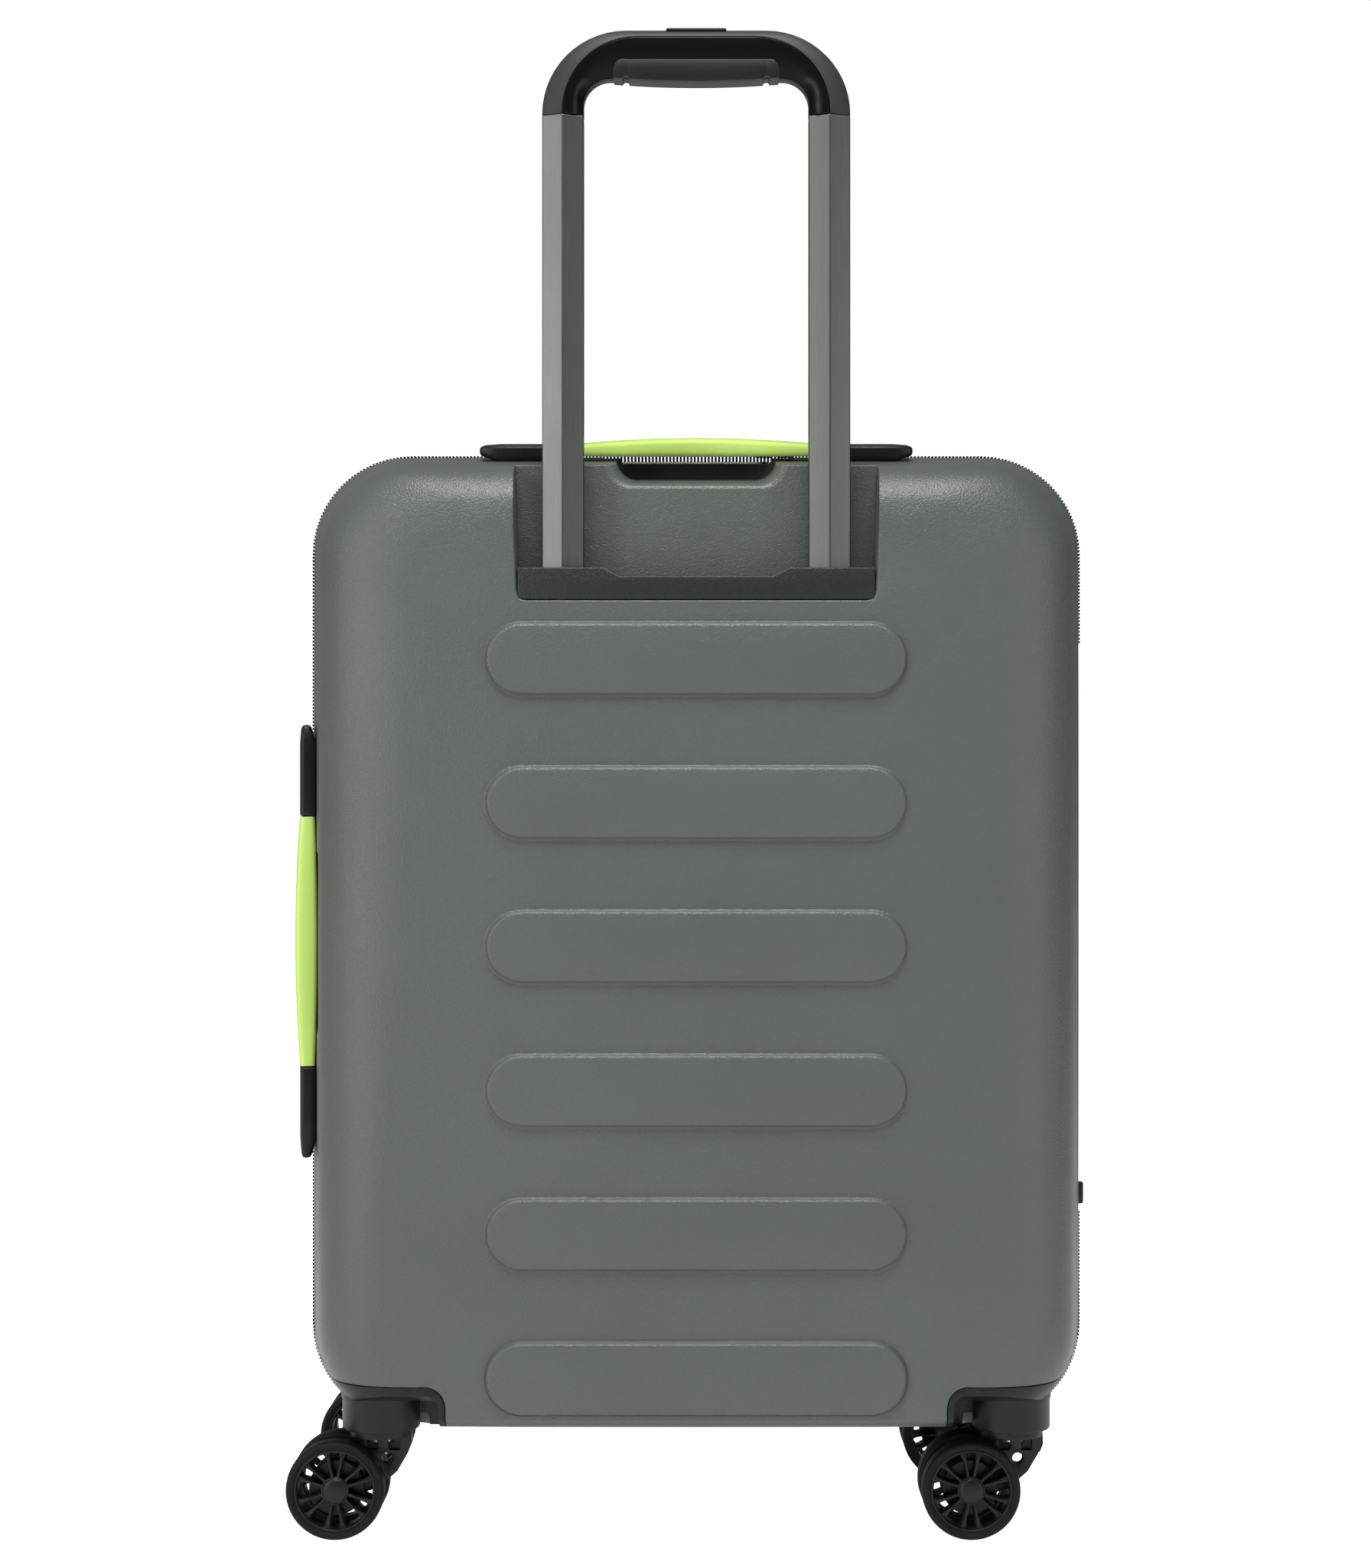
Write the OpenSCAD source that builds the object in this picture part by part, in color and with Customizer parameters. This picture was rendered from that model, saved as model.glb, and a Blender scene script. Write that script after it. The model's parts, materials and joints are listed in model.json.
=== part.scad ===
// Cabin suitcase: two hard half shells that open like a book, a two-stage pull handle,
// two carry handles, a zip with a three-dial lock, and four swivelling twin-wheel casters.
// Frame: X to the right seen from the pull-handle side, +Y from back to front, +Z up.
// The origin is on the floor, under the middle of the case, on the parting plane.

/* [Case] */
// Width of the shells at the rim
case_w = 393; // [360:1:450]
// Height of the shells at the rim
case_h = 495; // [470:1:600]
// Depth of one half shell, from the parting plane to its flat face
half_depth = 97.5; // [92:0.5:120]
// Wall of the shells
shell_wall = 2.5; // [1.8:0.1:3.5]
// Radius of the case's outline corners at the rim
corner_r = 50; // [46:1:58]
// Half of the gap between the two rims
rim_gap = 5; // [4:0.5:7]
// Height of the moulded ribs above the face
rib_proud = 2.5; // [1:0.1:4]
// Width of one rib
rib_w = 201; // [150:1:215]
// Height of one rib
rib_h = 35; // [24:1:40]
// Distance between rib centres
rib_pitch = 69; // [55:0.5:70]
// Thickness of the lining
lining_t = 1; // [0.8:0.1:1.5]

/* [Pull handle] */
// Width of one visible tube
tube_w = 20; // [17:0.5:22]
// Distance between the two tubes' centres
tube_spacing = 129; // [120:1:136]
// Wall of every tube
tube_wall = 1.2; // [1:0.1:1.4]
// Gap between one tube stage and the next
tube_clear = 0.4; // [0.3:0.05:0.6]
// How far the upper stage is pulled out
upper_travel = 219.3; // [150:0.1:230]
// How far the middle stage can still be pulled out
middle_travel = 250; // [150:1:260]
// Height of the grip, from its feet to its top
grip_h = 41; // [38:0.5:46]
// Travel of the release button
button_travel = 3; // [2:0.5:3.5]

/* [Carry handles] */
// Length of a carry handle over its ends
carry_l = 218; // [200:1:230]
// Length of the soft grip in its middle
carry_grip_l = 125; // [110:1:140]
// Width of a carry handle
carry_w = 26; // [22:1:28]
// How far the grip lifts when it is pulled
carry_lift = 8; // [5:1:10]

/* [Casters] */
// Radius of a wheel over its tyre
wheel_r = 24; // [22:0.5:25]
// Width of one wheel
wheel_t = 11.4; // [9:0.2:12]
// Thickness of a tyre
tyre_t = 4; // [3:0.5:5]
// Distance from the swivel axis back to the axle
trail = 21; // [18:0.5:23]
// Radius of an axle
axle_r = 2.5; // [2:0.25:3]
// Radius of a kingpin
kingpin_r = 4; // [3:0.5:5]
// Radius of the swivel cup
cup_r = 19; // [17.5:0.5:20]
// Distance of the swivel axes from the case's sides
swivel_inset = 41.5; // [38:0.1:46]
// Distance of the swivel axes from the parting plane
swivel_y = 62; // [58:0.5:66]
// Number of spokes in a hub, in pairs
spokes = 12; // [8:2:14]

/* [Lock] */
// Length of the lock's case
lock_l = 64; // [58:1:80]
// Radius of a dial
dial_r = 6.5; // [5.5:0.25:7]
// Distance between dial centres
dial_pitch = 9; // [8:0.5:11]

/* [Hidden] */
CORNERS = ["rear_left", "rear_right", "front_left", "front_right"];
WHEELS = ["outer", "inner"];
$fn = 64;
eps = 0.01;

// Colours
GREEN = [0.40, 0.44, 0.40];
LIME = [0.70, 0.86, 0.30];
BLACK = [0.11, 0.11, 0.11];
GREY = [0.20, 0.20, 0.21];
ALU = [0.52, 0.52, 0.50];
STEEL = [0.65, 0.65, 0.67];

// Heights, worked up from the floor
axle_z = wheel_r;
fork_top = 2 * wheel_r + 5.9;               // top of the fork's disc, over the wheels
fork_disc_t = 5.4;
swivel_gap = 0.6;                           // running gap between the fork and the cup
cup_z = fork_top + swivel_gap;              // underside of the swivel cup
rim_z0 = cup_z - 12.4;                        // lowest point of the rim
rim_z1 = rim_z0 + case_h;                   // highest point of the rim
mid_z = rim_z0 + case_h / 2;
swivel_x = case_w / 2 - swivel_inset;

// The pillow shape of a half shell: rows of
// [share of the depth, side inset, top inset, bottom inset, loss of corner radius]
ROWS = [
    [0.00, 0, 0, 0, 0],
    [0.41, 6.6, 7.2, 7.2, 1],
    [0.74, 12, 13, 12.2, 3],
    [0.84, 16, 16.5, 13.8, 4],
    [0.913, 24, 21, 15.4, 6],
    [0.96, 34, 27, 17.6, 8],
    [0.99, 43, 34, 20.5, 10],
    [1.00, 52, 42, 24, 12]];
arc_steps = 8;
side_slope = ROWS[1][1] / (ROWS[1][0] * half_depth);
top_slope = ROWS[1][2] / (ROWS[1][0] * half_depth);
bottom_slope = ROWS[1][3] / (ROWS[1][0] * half_depth);
top_tilt = atan(top_slope);
side_tilt = atan(side_slope);

// One closed ring of the pillow, as [x, y, z] points at depth d
function ring(x1, z0, z1, r, d) = [
    for (c = [[1, 1, 0], [-1, 1, 90], [-1, -1, 180], [1, -1, 270]])
        for (i = [0:arc_steps])
            let (a = c[2] + 90 * i / arc_steps,
                 cx = c[0] * (x1 - r),
                 cz = c[1] > 0 ? z1 - r : z0 + r)
            [cx + r * cos(a), d, cz + r * sin(a)]];
ring_n = 4 * (arc_steps + 1);
function row_ring(row, o, d) = ring(
    case_w / 2 - row[1] - o, rim_z0 + row[3] + o, rim_z1 - row[2] - o,
    corner_r - row[4] - o / 2, d);
function loft_faces(n_rings) = concat(
    [[for (i = [0:ring_n - 1]) i]],
    [for (j = [0:n_rings - 2], i = [0:ring_n - 1], t = [0, 1])
        let (a = j * ring_n + i, b = j * ring_n + (i + 1) % ring_n)
        t == 0 ? [a, a + ring_n, b] : [b, a + ring_n, b + ring_n]],
    [[for (i = [ring_n - 1:-1:0]) (n_rings - 1) * ring_n + i]]);
function flat(l) = [for (a = l, b = a) b];

// A loft through rings, with the first ring on the far side of Y
module loft(rings) polyhedron(flat(rings), loft_faces(len(rings)), convexity = 6);

over = 4;                                   // how far a cutter runs past the rim

// The back half's solid pillow, shrunk by o on every face; its open side is at y = lip
module pillow(o = 0, lip = 0) {
    ext = max(lip, eps);
    loft([for (i = [-1:len(ROWS) - 1])
        i < 0 ? row_ring(draft_row(-ext), o, ext) : row_ring(ROWS[i], o, -ROWS[i][0] * (half_depth - o))]);
}

// The same pillow from depth d0 to d1 only, both within its first row
function draft_row(d) = [0, d * side_slope, d * top_slope, d * bottom_slope, 0];
module band(o, d0, d1) loft([row_ring(draft_row(d0), o, -d0), row_ring(draft_row(d1), o, -d1)]);

// Outward surfaces of the back half at depth d from the parting plane
function top_z(d) = rim_z1 - top_slope * d;
function bottom_z(d) = rim_z0 + bottom_slope * d;
function side_x(d) = case_w / 2 - side_slope * d;

module mirror_y(on = true) mirror([0, on ? 1 : 0, 0]) children();

module block(x0, x1, y0, y1, z0, z1) translate([x0, y0, z0]) cube([x1 - x0, y1 - y0, z1 - z0]);

// Extrudes a drawing of [x, z] points along Y, from y0 to y1
module along_y(y0, y1) translate([0, y1, 0]) rotate([90, 0, 0]) linear_extrude(y1 - y0) children();

// Extrudes a drawing of [y, z] points along X, from x0 to x1
module along_x(x0, x1) translate([x0, 0, 0]) rotate([90, 0, 90]) linear_extrude(x1 - x0) children();

/* ---------- pull handle ---------- */
tube_x = tube_spacing / 2;
recess_y = -(half_depth - 26.5);            // floor of the recess
recess_side = 21.5;                         // recess past the tubes' centres, each side
recess_x = tube_x + recess_side;
recess_z = rim_z1 - 81;                     // lower end of the recess
bezel_h = 15.4;
bezel_gap = 0.2;
bezel_top = recess_z + bezel_h;
tube_face = -(half_depth - 20.5);           // the visible tube's flat front face
tube_side = 10;
tube_ridge = 3.6;
grip_z0 = bezel_top + 0.1 + upper_travel;   // the grip's feet, pulled out
grip_top = grip_z0 + grip_h;
rod_y = tube_face - 6.5;
foot_z = rim_z0 + ROWS[len(ROWS) - 1][3] + shell_wall + 0.3;
foot_h = 16;
foot_floor = 3;
foot_x = tube_x + 19.5;
outer_top = recess_z + 7.4;
middle_z0 = foot_z + foot_floor + 3;
middle_z1 = bezel_top - 1.4;
upper_z0 = middle_z0 + 1 + upper_travel;

// The five-sided section of a tube, grown by g on every side
module tube_section(g = 0) {
    k = g * (sqrt(pow(tube_w / 2, 2) + pow(tube_ridge, 2)) / (tube_w / 2));
    s = g * tube_ridge / (tube_w / 2);
    w = tube_w / 2 + g;
    shoulder = tube_face - tube_side;
    polygon([[-w, tube_face + g], [w, tube_face + g], [w, shoulder - k + s],
             [0, shoulder - tube_ridge - k], [-w, shoulder - k + s]]);
}

// A pair of tubes between two heights, grown by g; with no wall they are solid
module tube_pair(g, z0, z1, wall = 0) for (s = [-1, 1])
    translate([s * tube_x, 0, z0]) linear_extrude(z1 - z0) difference() {
        tube_section(g);
        if (wall > 0) tube_section(g - wall);
    }
middle_grow = tube_wall + tube_clear;
outer_grow = 2 * middle_grow;

module outer_tubes() color(ALU) tube_pair(outer_grow, foot_z + foot_floor, outer_top, tube_wall);
module middle_tubes() color(ALU) tube_pair(middle_grow, middle_z0, middle_z1, tube_wall);
module upper_tubes() color(ALU) tube_pair(0, upper_z0, grip_z0 - 0.1, tube_wall);

module tube_foot() color(BLACK) difference() {
    block(-foot_x, foot_x, -(half_depth - shell_wall - 0.6), recess_y - 1, foot_z, foot_z + foot_h);
    tube_pair(outer_grow + 0.05, foot_z + foot_floor - 0.05, foot_z + foot_h + 1);
}

bezel_dip = 4.2;
module handle_bezel() color(BLACK) difference() {
    along_y(-(half_depth - 0.5), recess_y - bezel_gap) {
        x = recess_x - bezel_gap;
        z0 = recess_z + bezel_gap;
        polygon([[-x, z0], [x, z0], [x, bezel_top], [45, bezel_top], [37, bezel_top - bezel_dip],
                 [-37, bezel_top - bezel_dip], [-45, bezel_top], [-x, bezel_top]]);
    }
    tube_pair(outer_grow + 0.05, recess_z - 1, outer_top + 0.05);
    tube_pair(middle_grow + 0.3, outer_top, bezel_top + 1);
}

grip_inner_x = tube_x - tube_w / 2;
grip_outer_x = tube_x + tube_w / 2;
grip_inner_z = grip_top - 22.8;
grip_y0 = tube_face - tube_side - tube_ridge - 0.4;
grip_y1 = tube_face + 0.5;
button_x = 14.5;
button_y = 4.5;
yoke_z = grip_top - 16.4;
yoke_t = 4;
rod_r = 2.5;
rod_x = tube_x - 5;                         // the rods run beside the tubes' middles, under the grip's round corners

// A drawing of a door-shaped arch: w each side of the middle, from z0 to z1, top corners of radius r
module arch(w, z0, z1, r) intersection() {
    translate([-w, z0]) square([2 * w, z1 - z0]);
    union() {
        if (z1 - r > z0) translate([-w, z0]) square([2 * w, z1 - z0 - r]);
        translate([-(w - r), z0]) square([2 * (w - r), z1 - z0]);
        for (s = [-1, 1]) translate([s * (w - r), z1 - r]) circle(r);
    }
}

module grip_body() color(BLACK) difference() {
    union() {
        along_y(grip_y0, grip_y1) difference() {
            arch(grip_outer_x, grip_z0, grip_top, 38);
            arch(grip_inner_x, grip_z0 - 1, grip_inner_z, 10);
        }
        tube_pair(-tube_wall - 0.05, grip_z0 - 16, grip_z0);
    }
    for (s = [-1, 1]) translate([s * rod_x, rod_y, grip_z0 - 17])
        cylinder(r = rod_r + 0.3, h = yoke_z + yoke_t - grip_z0 + 17);
    block(-rod_x - rod_r - 0.3, rod_x + rod_r + 0.3, rod_y - 2.8, rod_y + 2.8,
          yoke_z - button_travel - 0.5, yoke_z + yoke_t + 0.5);
    block(-button_x - 0.3, button_x + 0.3, rod_y - button_y - 0.3, rod_y + button_y + 0.3,
          yoke_z + yoke_t - button_travel - 0.3, grip_top + 1);
    block(-insert_x - 0.1, insert_x + 0.1, grip_y0 - 1, grip_y1 + 1, grip_inner_z - 2, insert_top + 0.05);
}

insert_x = 41;
insert_top = grip_inner_z + 2;
module grip_insert() color(GREY)
    block(-insert_x, insert_x, grip_y0 - 0.4, grip_y1, grip_inner_z - 1.4, insert_top);

module push_button() color(BLACK)
    block(-button_x, button_x, rod_y - button_y, rod_y + button_y, yoke_z + yoke_t + 0.02, grip_top + 1.2);

module push_rods() color(STEEL) {
    block(-rod_x, rod_x, rod_y - 2.5, rod_y + 2.5, yoke_z, yoke_z + yoke_t);
    for (s = [-1, 1]) translate([s * rod_x, rod_y, upper_z0 + 5])
        cylinder(r = rod_r, h = yoke_z + yoke_t - upper_z0 - 5);
}

/* ---------- shells ---------- */
recess_wall = shell_wall;
bowl_x = 49;                                // half length of the finger bowl under the top handle
carry_y = rim_gap + 4 + carry_w / 2;        // middle of a carry handle, from the parting plane
bowl_rim = rim_gap + 3.6;                   // rim left standing in front of the bowl
scoop_z = 45;                               // half length of the finger scoop under the side handle
bowl_drop = 25;                             // depth of the bowl where it opens into the recess

// The finger bowl's section, [y, z], lowered by o
module bowl_section(o = 0) polygon([
    [recess_y - 4, top_z(0) - bowl_drop - o], [-58, top_z(0) - bowl_drop - 3 - o],
    [-36, top_z(0) - bowl_drop - 2.5 - o], [-18, top_z(0) - bowl_drop + 6 - o],
    [-bowl_rim + o, top_z(0) - 8 - o], [-bowl_rim + o, rim_z1 + 9], [recess_y - 4, rim_z1 + 9]]);

// The side scoop's section, [x, y], sunk by o
module scoop_section(o = 0) polygon([
    [-side_x(66) - 9, -66 - o], [-side_x(60) + 4 + o, -60 - o], [-side_x(40) + 11 + o, -42],
    [-side_x(24) + 11 + o, -24 + o], [-side_x(bowl_rim) + 2 + o, -bowl_rim + o],
    [-side_x(0) - 9, -bowl_rim + o]]);

// The patch that a wheel housing fills, with its inner upper corner rounded, grown by g
patch_x = swivel_x - 34.5;
patch_z = rim_z0 + 38.9;
patch_r = 10;
patch_y0 = 14;
module patch(s, g = 0) intersection() {
    along_y(-half_depth - 3, -patch_y0 + g) {
        r = patch_r + g;
        x0 = patch_x - g;
        z1 = patch_z + g;
        scale([s, 1]) {
            translate([x0, rim_z0 - 20]) square([case_w / 2, z1 - r - rim_z0 + 20]);
            translate([x0 + r, rim_z0 - 20]) square([case_w / 2, z1 - rim_z0 + 20]);
            translate([x0 + r, z1 - r]) circle(r);
        }
    }
    translate([0, 0, 0]) block(-case_w, case_w, -half_depth - 4, 0, 0, rim_z1);
}

// Raised ribs on the flat face; n of them, the lowest one centred at z
module ribs(n, z) along_y(-half_depth - rib_proud, -half_depth + shell_wall / 2)
    for (i = [0:n - 1]) translate([0, z + i * rib_pitch]) {
        square([rib_w - rib_h, rib_h], center = true);
        for (s = [-1, 1]) translate([s * (rib_w - rib_h) / 2, 0]) circle(rib_h / 2);
    }
rib_z = rim_z0 + 40.1;

// Two screws of a wheel housing, [x, z] from the middle of the case
SCREWS = [[patch_x - 5.5, patch_z - 3], [patch_x + 7.5, patch_z + 6]];
screw_r = 1.75;
screw_head_r = 3.4;
screw_tip = half_depth - 1.5;
flange_t = 1.9;
flange_face = half_depth - shell_wall - 0.1 - flange_t;
module screw_shafts(grow = 0) for (s = [-1, 1], p = SCREWS)
    translate([s * p[0], -screw_tip, p[1]]) rotate([-90, 0, 0])
        cylinder(r = screw_r + grow, h = screw_tip - flange_face);

// The lifting lip moulded into the bottom of each rim
module bottom_lip() along_y(-rim_gap - 11, -rim_gap)
    polygon([[-50, rim_z0 + 2], [-50, rim_z0 + 0.2], [-22, rim_z0 - 2.4], [22, rim_z0 - 2.4],
             [50, rim_z0 + 0.2], [50, rim_z0 + 2]]);

module bare_shell() {
    difference() {
        pillow(0);
        pillow(shell_wall, over);
        block(-case_w, case_w, -rim_gap, over + 1, 0, 2 * rim_z1);
    }
    intersection() {
        ribs(6, rib_z);
        block(-case_w, case_w, -2 * half_depth, 0, bottom_z(half_depth) + 4, rim_z1);
    }
    bottom_lip();
}

foot_pad_x = 54;
foot_pad_y = 34;
foot_pad_r = 6;
foot_stem_r = 3.5;
// Places a child under the back half, square to its sloping bottom
module at_foot(s) translate([s * foot_pad_x, -foot_pad_y, bottom_z(foot_pad_y)])
    rotate([-atan(bottom_slope), 0, 0]) children();

module back_shell() color(GREEN) difference() {
    union() {
        bare_shell();
        intersection() {
            pillow(0);
            union() {
                block(-recess_x - recess_wall, recess_x + recess_wall, -half_depth - 1,
                      recess_y + recess_wall, recess_z - recess_wall, rim_z1 + 1);
                along_x(-bowl_x - recess_wall, bowl_x + recess_wall) bowl_section(recess_wall);
                translate([0, 0, mid_z - scoop_z - recess_wall])
                    linear_extrude(2 * (scoop_z + recess_wall)) scoop_section(recess_wall);
            }
        }
    }
    block(-recess_x, recess_x, -half_depth - 4, recess_y, recess_z, rim_z1 + 5);
    along_x(-bowl_x, bowl_x) bowl_section();
    translate([0, 0, mid_z - scoop_z]) linear_extrude(2 * scoop_z) scoop_section();
    tube_pair(outer_grow + 0.1, recess_z - recess_wall - 1, recess_z + 1);
    for (s = [-1, 1]) {
        patch(s);
        at_foot(s) translate([0, 0, -3]) cylinder(r = foot_stem_r, h = shell_wall + 6);
    }
    screw_shafts();
}

lock_y = rim_gap + 14;
lock_w = 20;
lock_depth = 14;
// Places a child that stands on the top of the front half, at the lock
module on_lock() translate([0, lock_y, top_z(lock_y)]) rotate([-top_tilt, 0, 0]) children();

module front_shell() color(GREEN) difference() {
    mirror_y() difference() {
        bare_shell();
        for (s = [-1, 1]) patch(s);
        screw_shafts();
    }
    on_lock() block(-lock_l / 2 - 0.2, lock_l / 2 + 0.2, -lock_w / 2 - 0.2, lock_w / 2 + 0.2, -lock_depth - 5, 5);
}

/* ---------- linings ---------- */
lining_gap = 0.7;
lining_floor = -recess_y - recess_wall - 0.7;   // the back lining's floor clears the recess
lining_in = rim_gap + 6;                        // the linings stop short of the rims
keep_out = 12;

// Keeps a lining clear of the wheel housings
module housing_room() for (s = [-1, 1]) {
    x = s > 0 ? patch_x - keep_out : -case_w;
    block(x, x + case_w - patch_x + keep_out, -half_depth, 0, 0, patch_z + keep_out);
}

module back_lining() color(GREY) difference() {
    o = shell_wall + lining_gap;
    intersection() {
        pillow(o, 1);
        block(-case_w, case_w, -lining_floor, -lining_in, 0, rim_z1);
    }
    intersection() {
        pillow(o + lining_t, over);
        block(-case_w, case_w, -lining_floor + lining_t, over, 0, rim_z1);
    }
    housing_room();
    along_x(-bowl_x - 4, bowl_x + 4) bowl_section(recess_wall + 1);
    translate([0, 0, mid_z - scoop_z - 4]) linear_extrude(2 * scoop_z + 8) scoop_section(recess_wall + 1);
}

module front_lining() color(GREY) difference() {
    mirror_y() difference() {
        o = shell_wall + lining_gap;
        intersection() {
            pillow(o, 1);
            block(-case_w, case_w, -half_depth, -lining_in, 0, rim_z1);
        }
        pillow(o + lining_t, over);
        housing_room();
    }
    on_lock() block(-lock_l / 2 - 2, lock_l / 2 + 2, -lock_w / 2 - 2, lock_w / 2 + 2, -lock_depth - 9, 5);
}

strap_w = 25;
strap_t = 1.4;
strap_angle = 32;
// Two straps that cross on the back lining's floor, and the buckle where they meet
module packing_straps() color(BLACK) translate([0, -lining_floor + lining_t + 0.1, mid_z - 30])
    rotate([-90, 0, 0]) linear_extrude(strap_t) for (a = [-strap_angle, strap_angle])
        rotate(a) square([300, strap_w], center = true);

/* ---------- carry handles ---------- */
end_l = (carry_l - carry_grip_l) / 2;
carry_t = 7.8;

// Places a child that stands on the back half's top or left side, in the handle's own frame
module on_top() translate([0, -carry_y, top_z(carry_y)]) rotate([top_tilt, 0, 0]) children();
module on_side() translate([-side_x(carry_y), -carry_y, mid_z])
    rotate([0, 0, side_tilt]) rotate([0, -90, 0]) children();

module handle_ends() color(BLACK) for (s = [-1, 1]) scale([s, 1, 1]) {
    x0 = carry_grip_l / 2 + 0.3;
    x1 = carry_l / 2;
    along_y(-carry_w / 2, carry_w / 2)
        polygon([[x0, 0.1], [x0, carry_t], [x1 - 11, carry_t - 0.8], [x1, 3.6], [x1, 2], [x1 - 5, 0.1]]);
}

grip_steps = 16;
function grip_up(t) = carry_t + 2.4 * (1 - t * t);
function grip_down(t) = 2.4 - 3.8 * (1 - t * t);
module handle_grip() color(LIME) along_y(-carry_w / 2, carry_w / 2) {
    h = carry_grip_l / 2;
    polygon(concat([for (i = [-grip_steps:grip_steps]) let (t = i / grip_steps) [t * h, grip_down(t)]],
                   [for (i = [grip_steps:-1:-grip_steps]) let (t = i / grip_steps) [t * h, grip_up(t)]]));
}

module top_handle_ends() on_top() handle_ends();
module side_handle_ends() on_side() handle_ends();
module top_handle_grip() on_top() handle_grip();
module side_handle_grip() on_side() handle_grip();

/* ---------- zip ---------- */
tape_o = shell_wall + 0.1;
tape_t = 0.5;
tape_d = 13;
chain_w = 2.6;
chain_proud = 0.5;
hinge_z0 = mid_z - 136;                     // the fabric hinge's lower and upper ends
hinge_z1 = mid_z + 152;
seam_gap = 0.1;

module hinge_side(z0, z1) block(case_w / 2 - 30, case_w, -30, 30, z0, z1);

module stringer() color(BLACK) difference() {
    union() {
        difference() {
            band(tape_o, seam_gap, tape_d);
            band(tape_o + tape_t, seam_gap - 1, tape_d + 1);
        }
        difference() {
            band(-chain_proud, seam_gap, seam_gap + chain_w);
            band(tape_o + tape_t / 2, seam_gap - 1, seam_gap + chain_w + 1);
        }
    }
    hinge_side(hinge_z0, hinge_z1);
}

// The tape is notched where the bowl's and the scoop's walls stand close behind the rim
module back_zip_stringer() difference() {
    stringer();
    y1 = -(bowl_rim - recess_wall - 0.4);
    x = bowl_x + recess_wall + 0.4;
    z = scoop_z + recess_wall + 0.4;
    block(-x, x, -tape_d - 2, y1, mid_z, rim_z1 + 5);
    block(-case_w, 0, -tape_d - 2, y1, mid_z - z, mid_z + z);
}
module front_zip_stringer() difference() {
    mirror_y() stringer();
    block(-lock_l / 2 - 0.4, lock_l / 2 + 0.4, lock_y - lock_w / 2 - 0.5, tape_d + 2, mid_z, rim_z1 + 5);
}

module hinge_gusset() color(BLACK) intersection() {
    union() {
        difference() {
            band(tape_o, -rim_gap + 0.4, tape_d);
            band(tape_o + tape_t, -rim_gap - 1, tape_d + 1);
        }
    }
    hinge_side(hinge_z0 + 12, hinge_z1 - 0.5);
}

module zip_end_tab() color(BLACK) {
    x = case_w / 2;
    block(x - 4, x + 2.4, -rim_gap + 0.2, -0.3, hinge_z0 + 0.2, hinge_z0 + 11.5);
}

slider_x = lock_l / 2 + 14;
slider_z = rim_z1 + chain_proud + 0.2;
module zip_sliders() color(STEEL) for (i = [0, 1]) translate([slider_x - i * 11, 0, slider_z]) {
    block(-4.5, 4.5, -4.4, 4.4, 0, 2.2);
    translate([0, 0, 2.2]) block(-2.5, 2.5, -2.5, 11, -eps, 1.8);
}

/* ---------- lock ---------- */
dial_t = 6;
dial_z = -dial_r + 1.3;
dial_pin_r = 1.5;
function dial_x(i) = -18 + i * dial_pitch;
module lock_case() color(BLACK) on_lock() {
    difference() {
        block(-lock_l / 2, lock_l / 2, -lock_w / 2, lock_w / 2, -lock_depth, 0.8);
        for (i = [0:2]) block(dial_x(i) - dial_t / 2 - 0.4, dial_x(i) + dial_t / 2 + 0.4,
                              -dial_r - 0.5, dial_r + 0.5, dial_z - dial_r - 0.5, 5);
    }
    translate([dial_x(0) - dial_t / 2 - 1, 0, dial_z]) rotate([0, 90, 0])
        cylinder(r = dial_pin_r, h = 2 * dial_pitch + dial_t + 2);
}
module lock_dial(i) color(GREY) on_lock() translate([dial_x(i) - dial_t / 2, 0, dial_z]) rotate([0, 90, 0])
    difference() {
        cylinder(r = dial_r, h = dial_t);
        translate([0, 0, -1]) cylinder(r = dial_pin_r + 0.05, h = dial_t + 2);
    }

/* ---------- casters ---------- */
module bottom_feet() color(BLACK) for (s = [-1, 1]) at_foot(s) {
    translate([0, 0, -2.4]) cylinder(r = foot_pad_r, h = 2.35);
    translate([0, 0, -1]) cylinder(r = foot_stem_r - 0.05, h = shell_wall + 1.3);
}

arch_r = cup_r + 5;                         // the wheel arch round the swivel cup
arch_z = cup_z + 4.5;
plate_t = 2.6;
cup_top = cup_z + 24;
kingpin_top = cup_top + 2;
bevel_z = cup_z + 14.5;                     // where the bevelled skin meets the cup

// Cuts the skin back to a bevel behind the cup, so that the cup stands clear
module cup_bevel(s, g = 0) scale([s, 1, 1]) along_x(swivel_x - cup_r - 4 - g, case_w)
    polygon([[-half_depth - 10, bevel_z + 17.5 + g], [-swivel_y - cup_r - 1.5, bevel_z + g],
             [-swivel_y - 2, bevel_z - 4 + g], [-swivel_y - 2, 0], [-half_depth - 10, 0]]);

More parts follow.
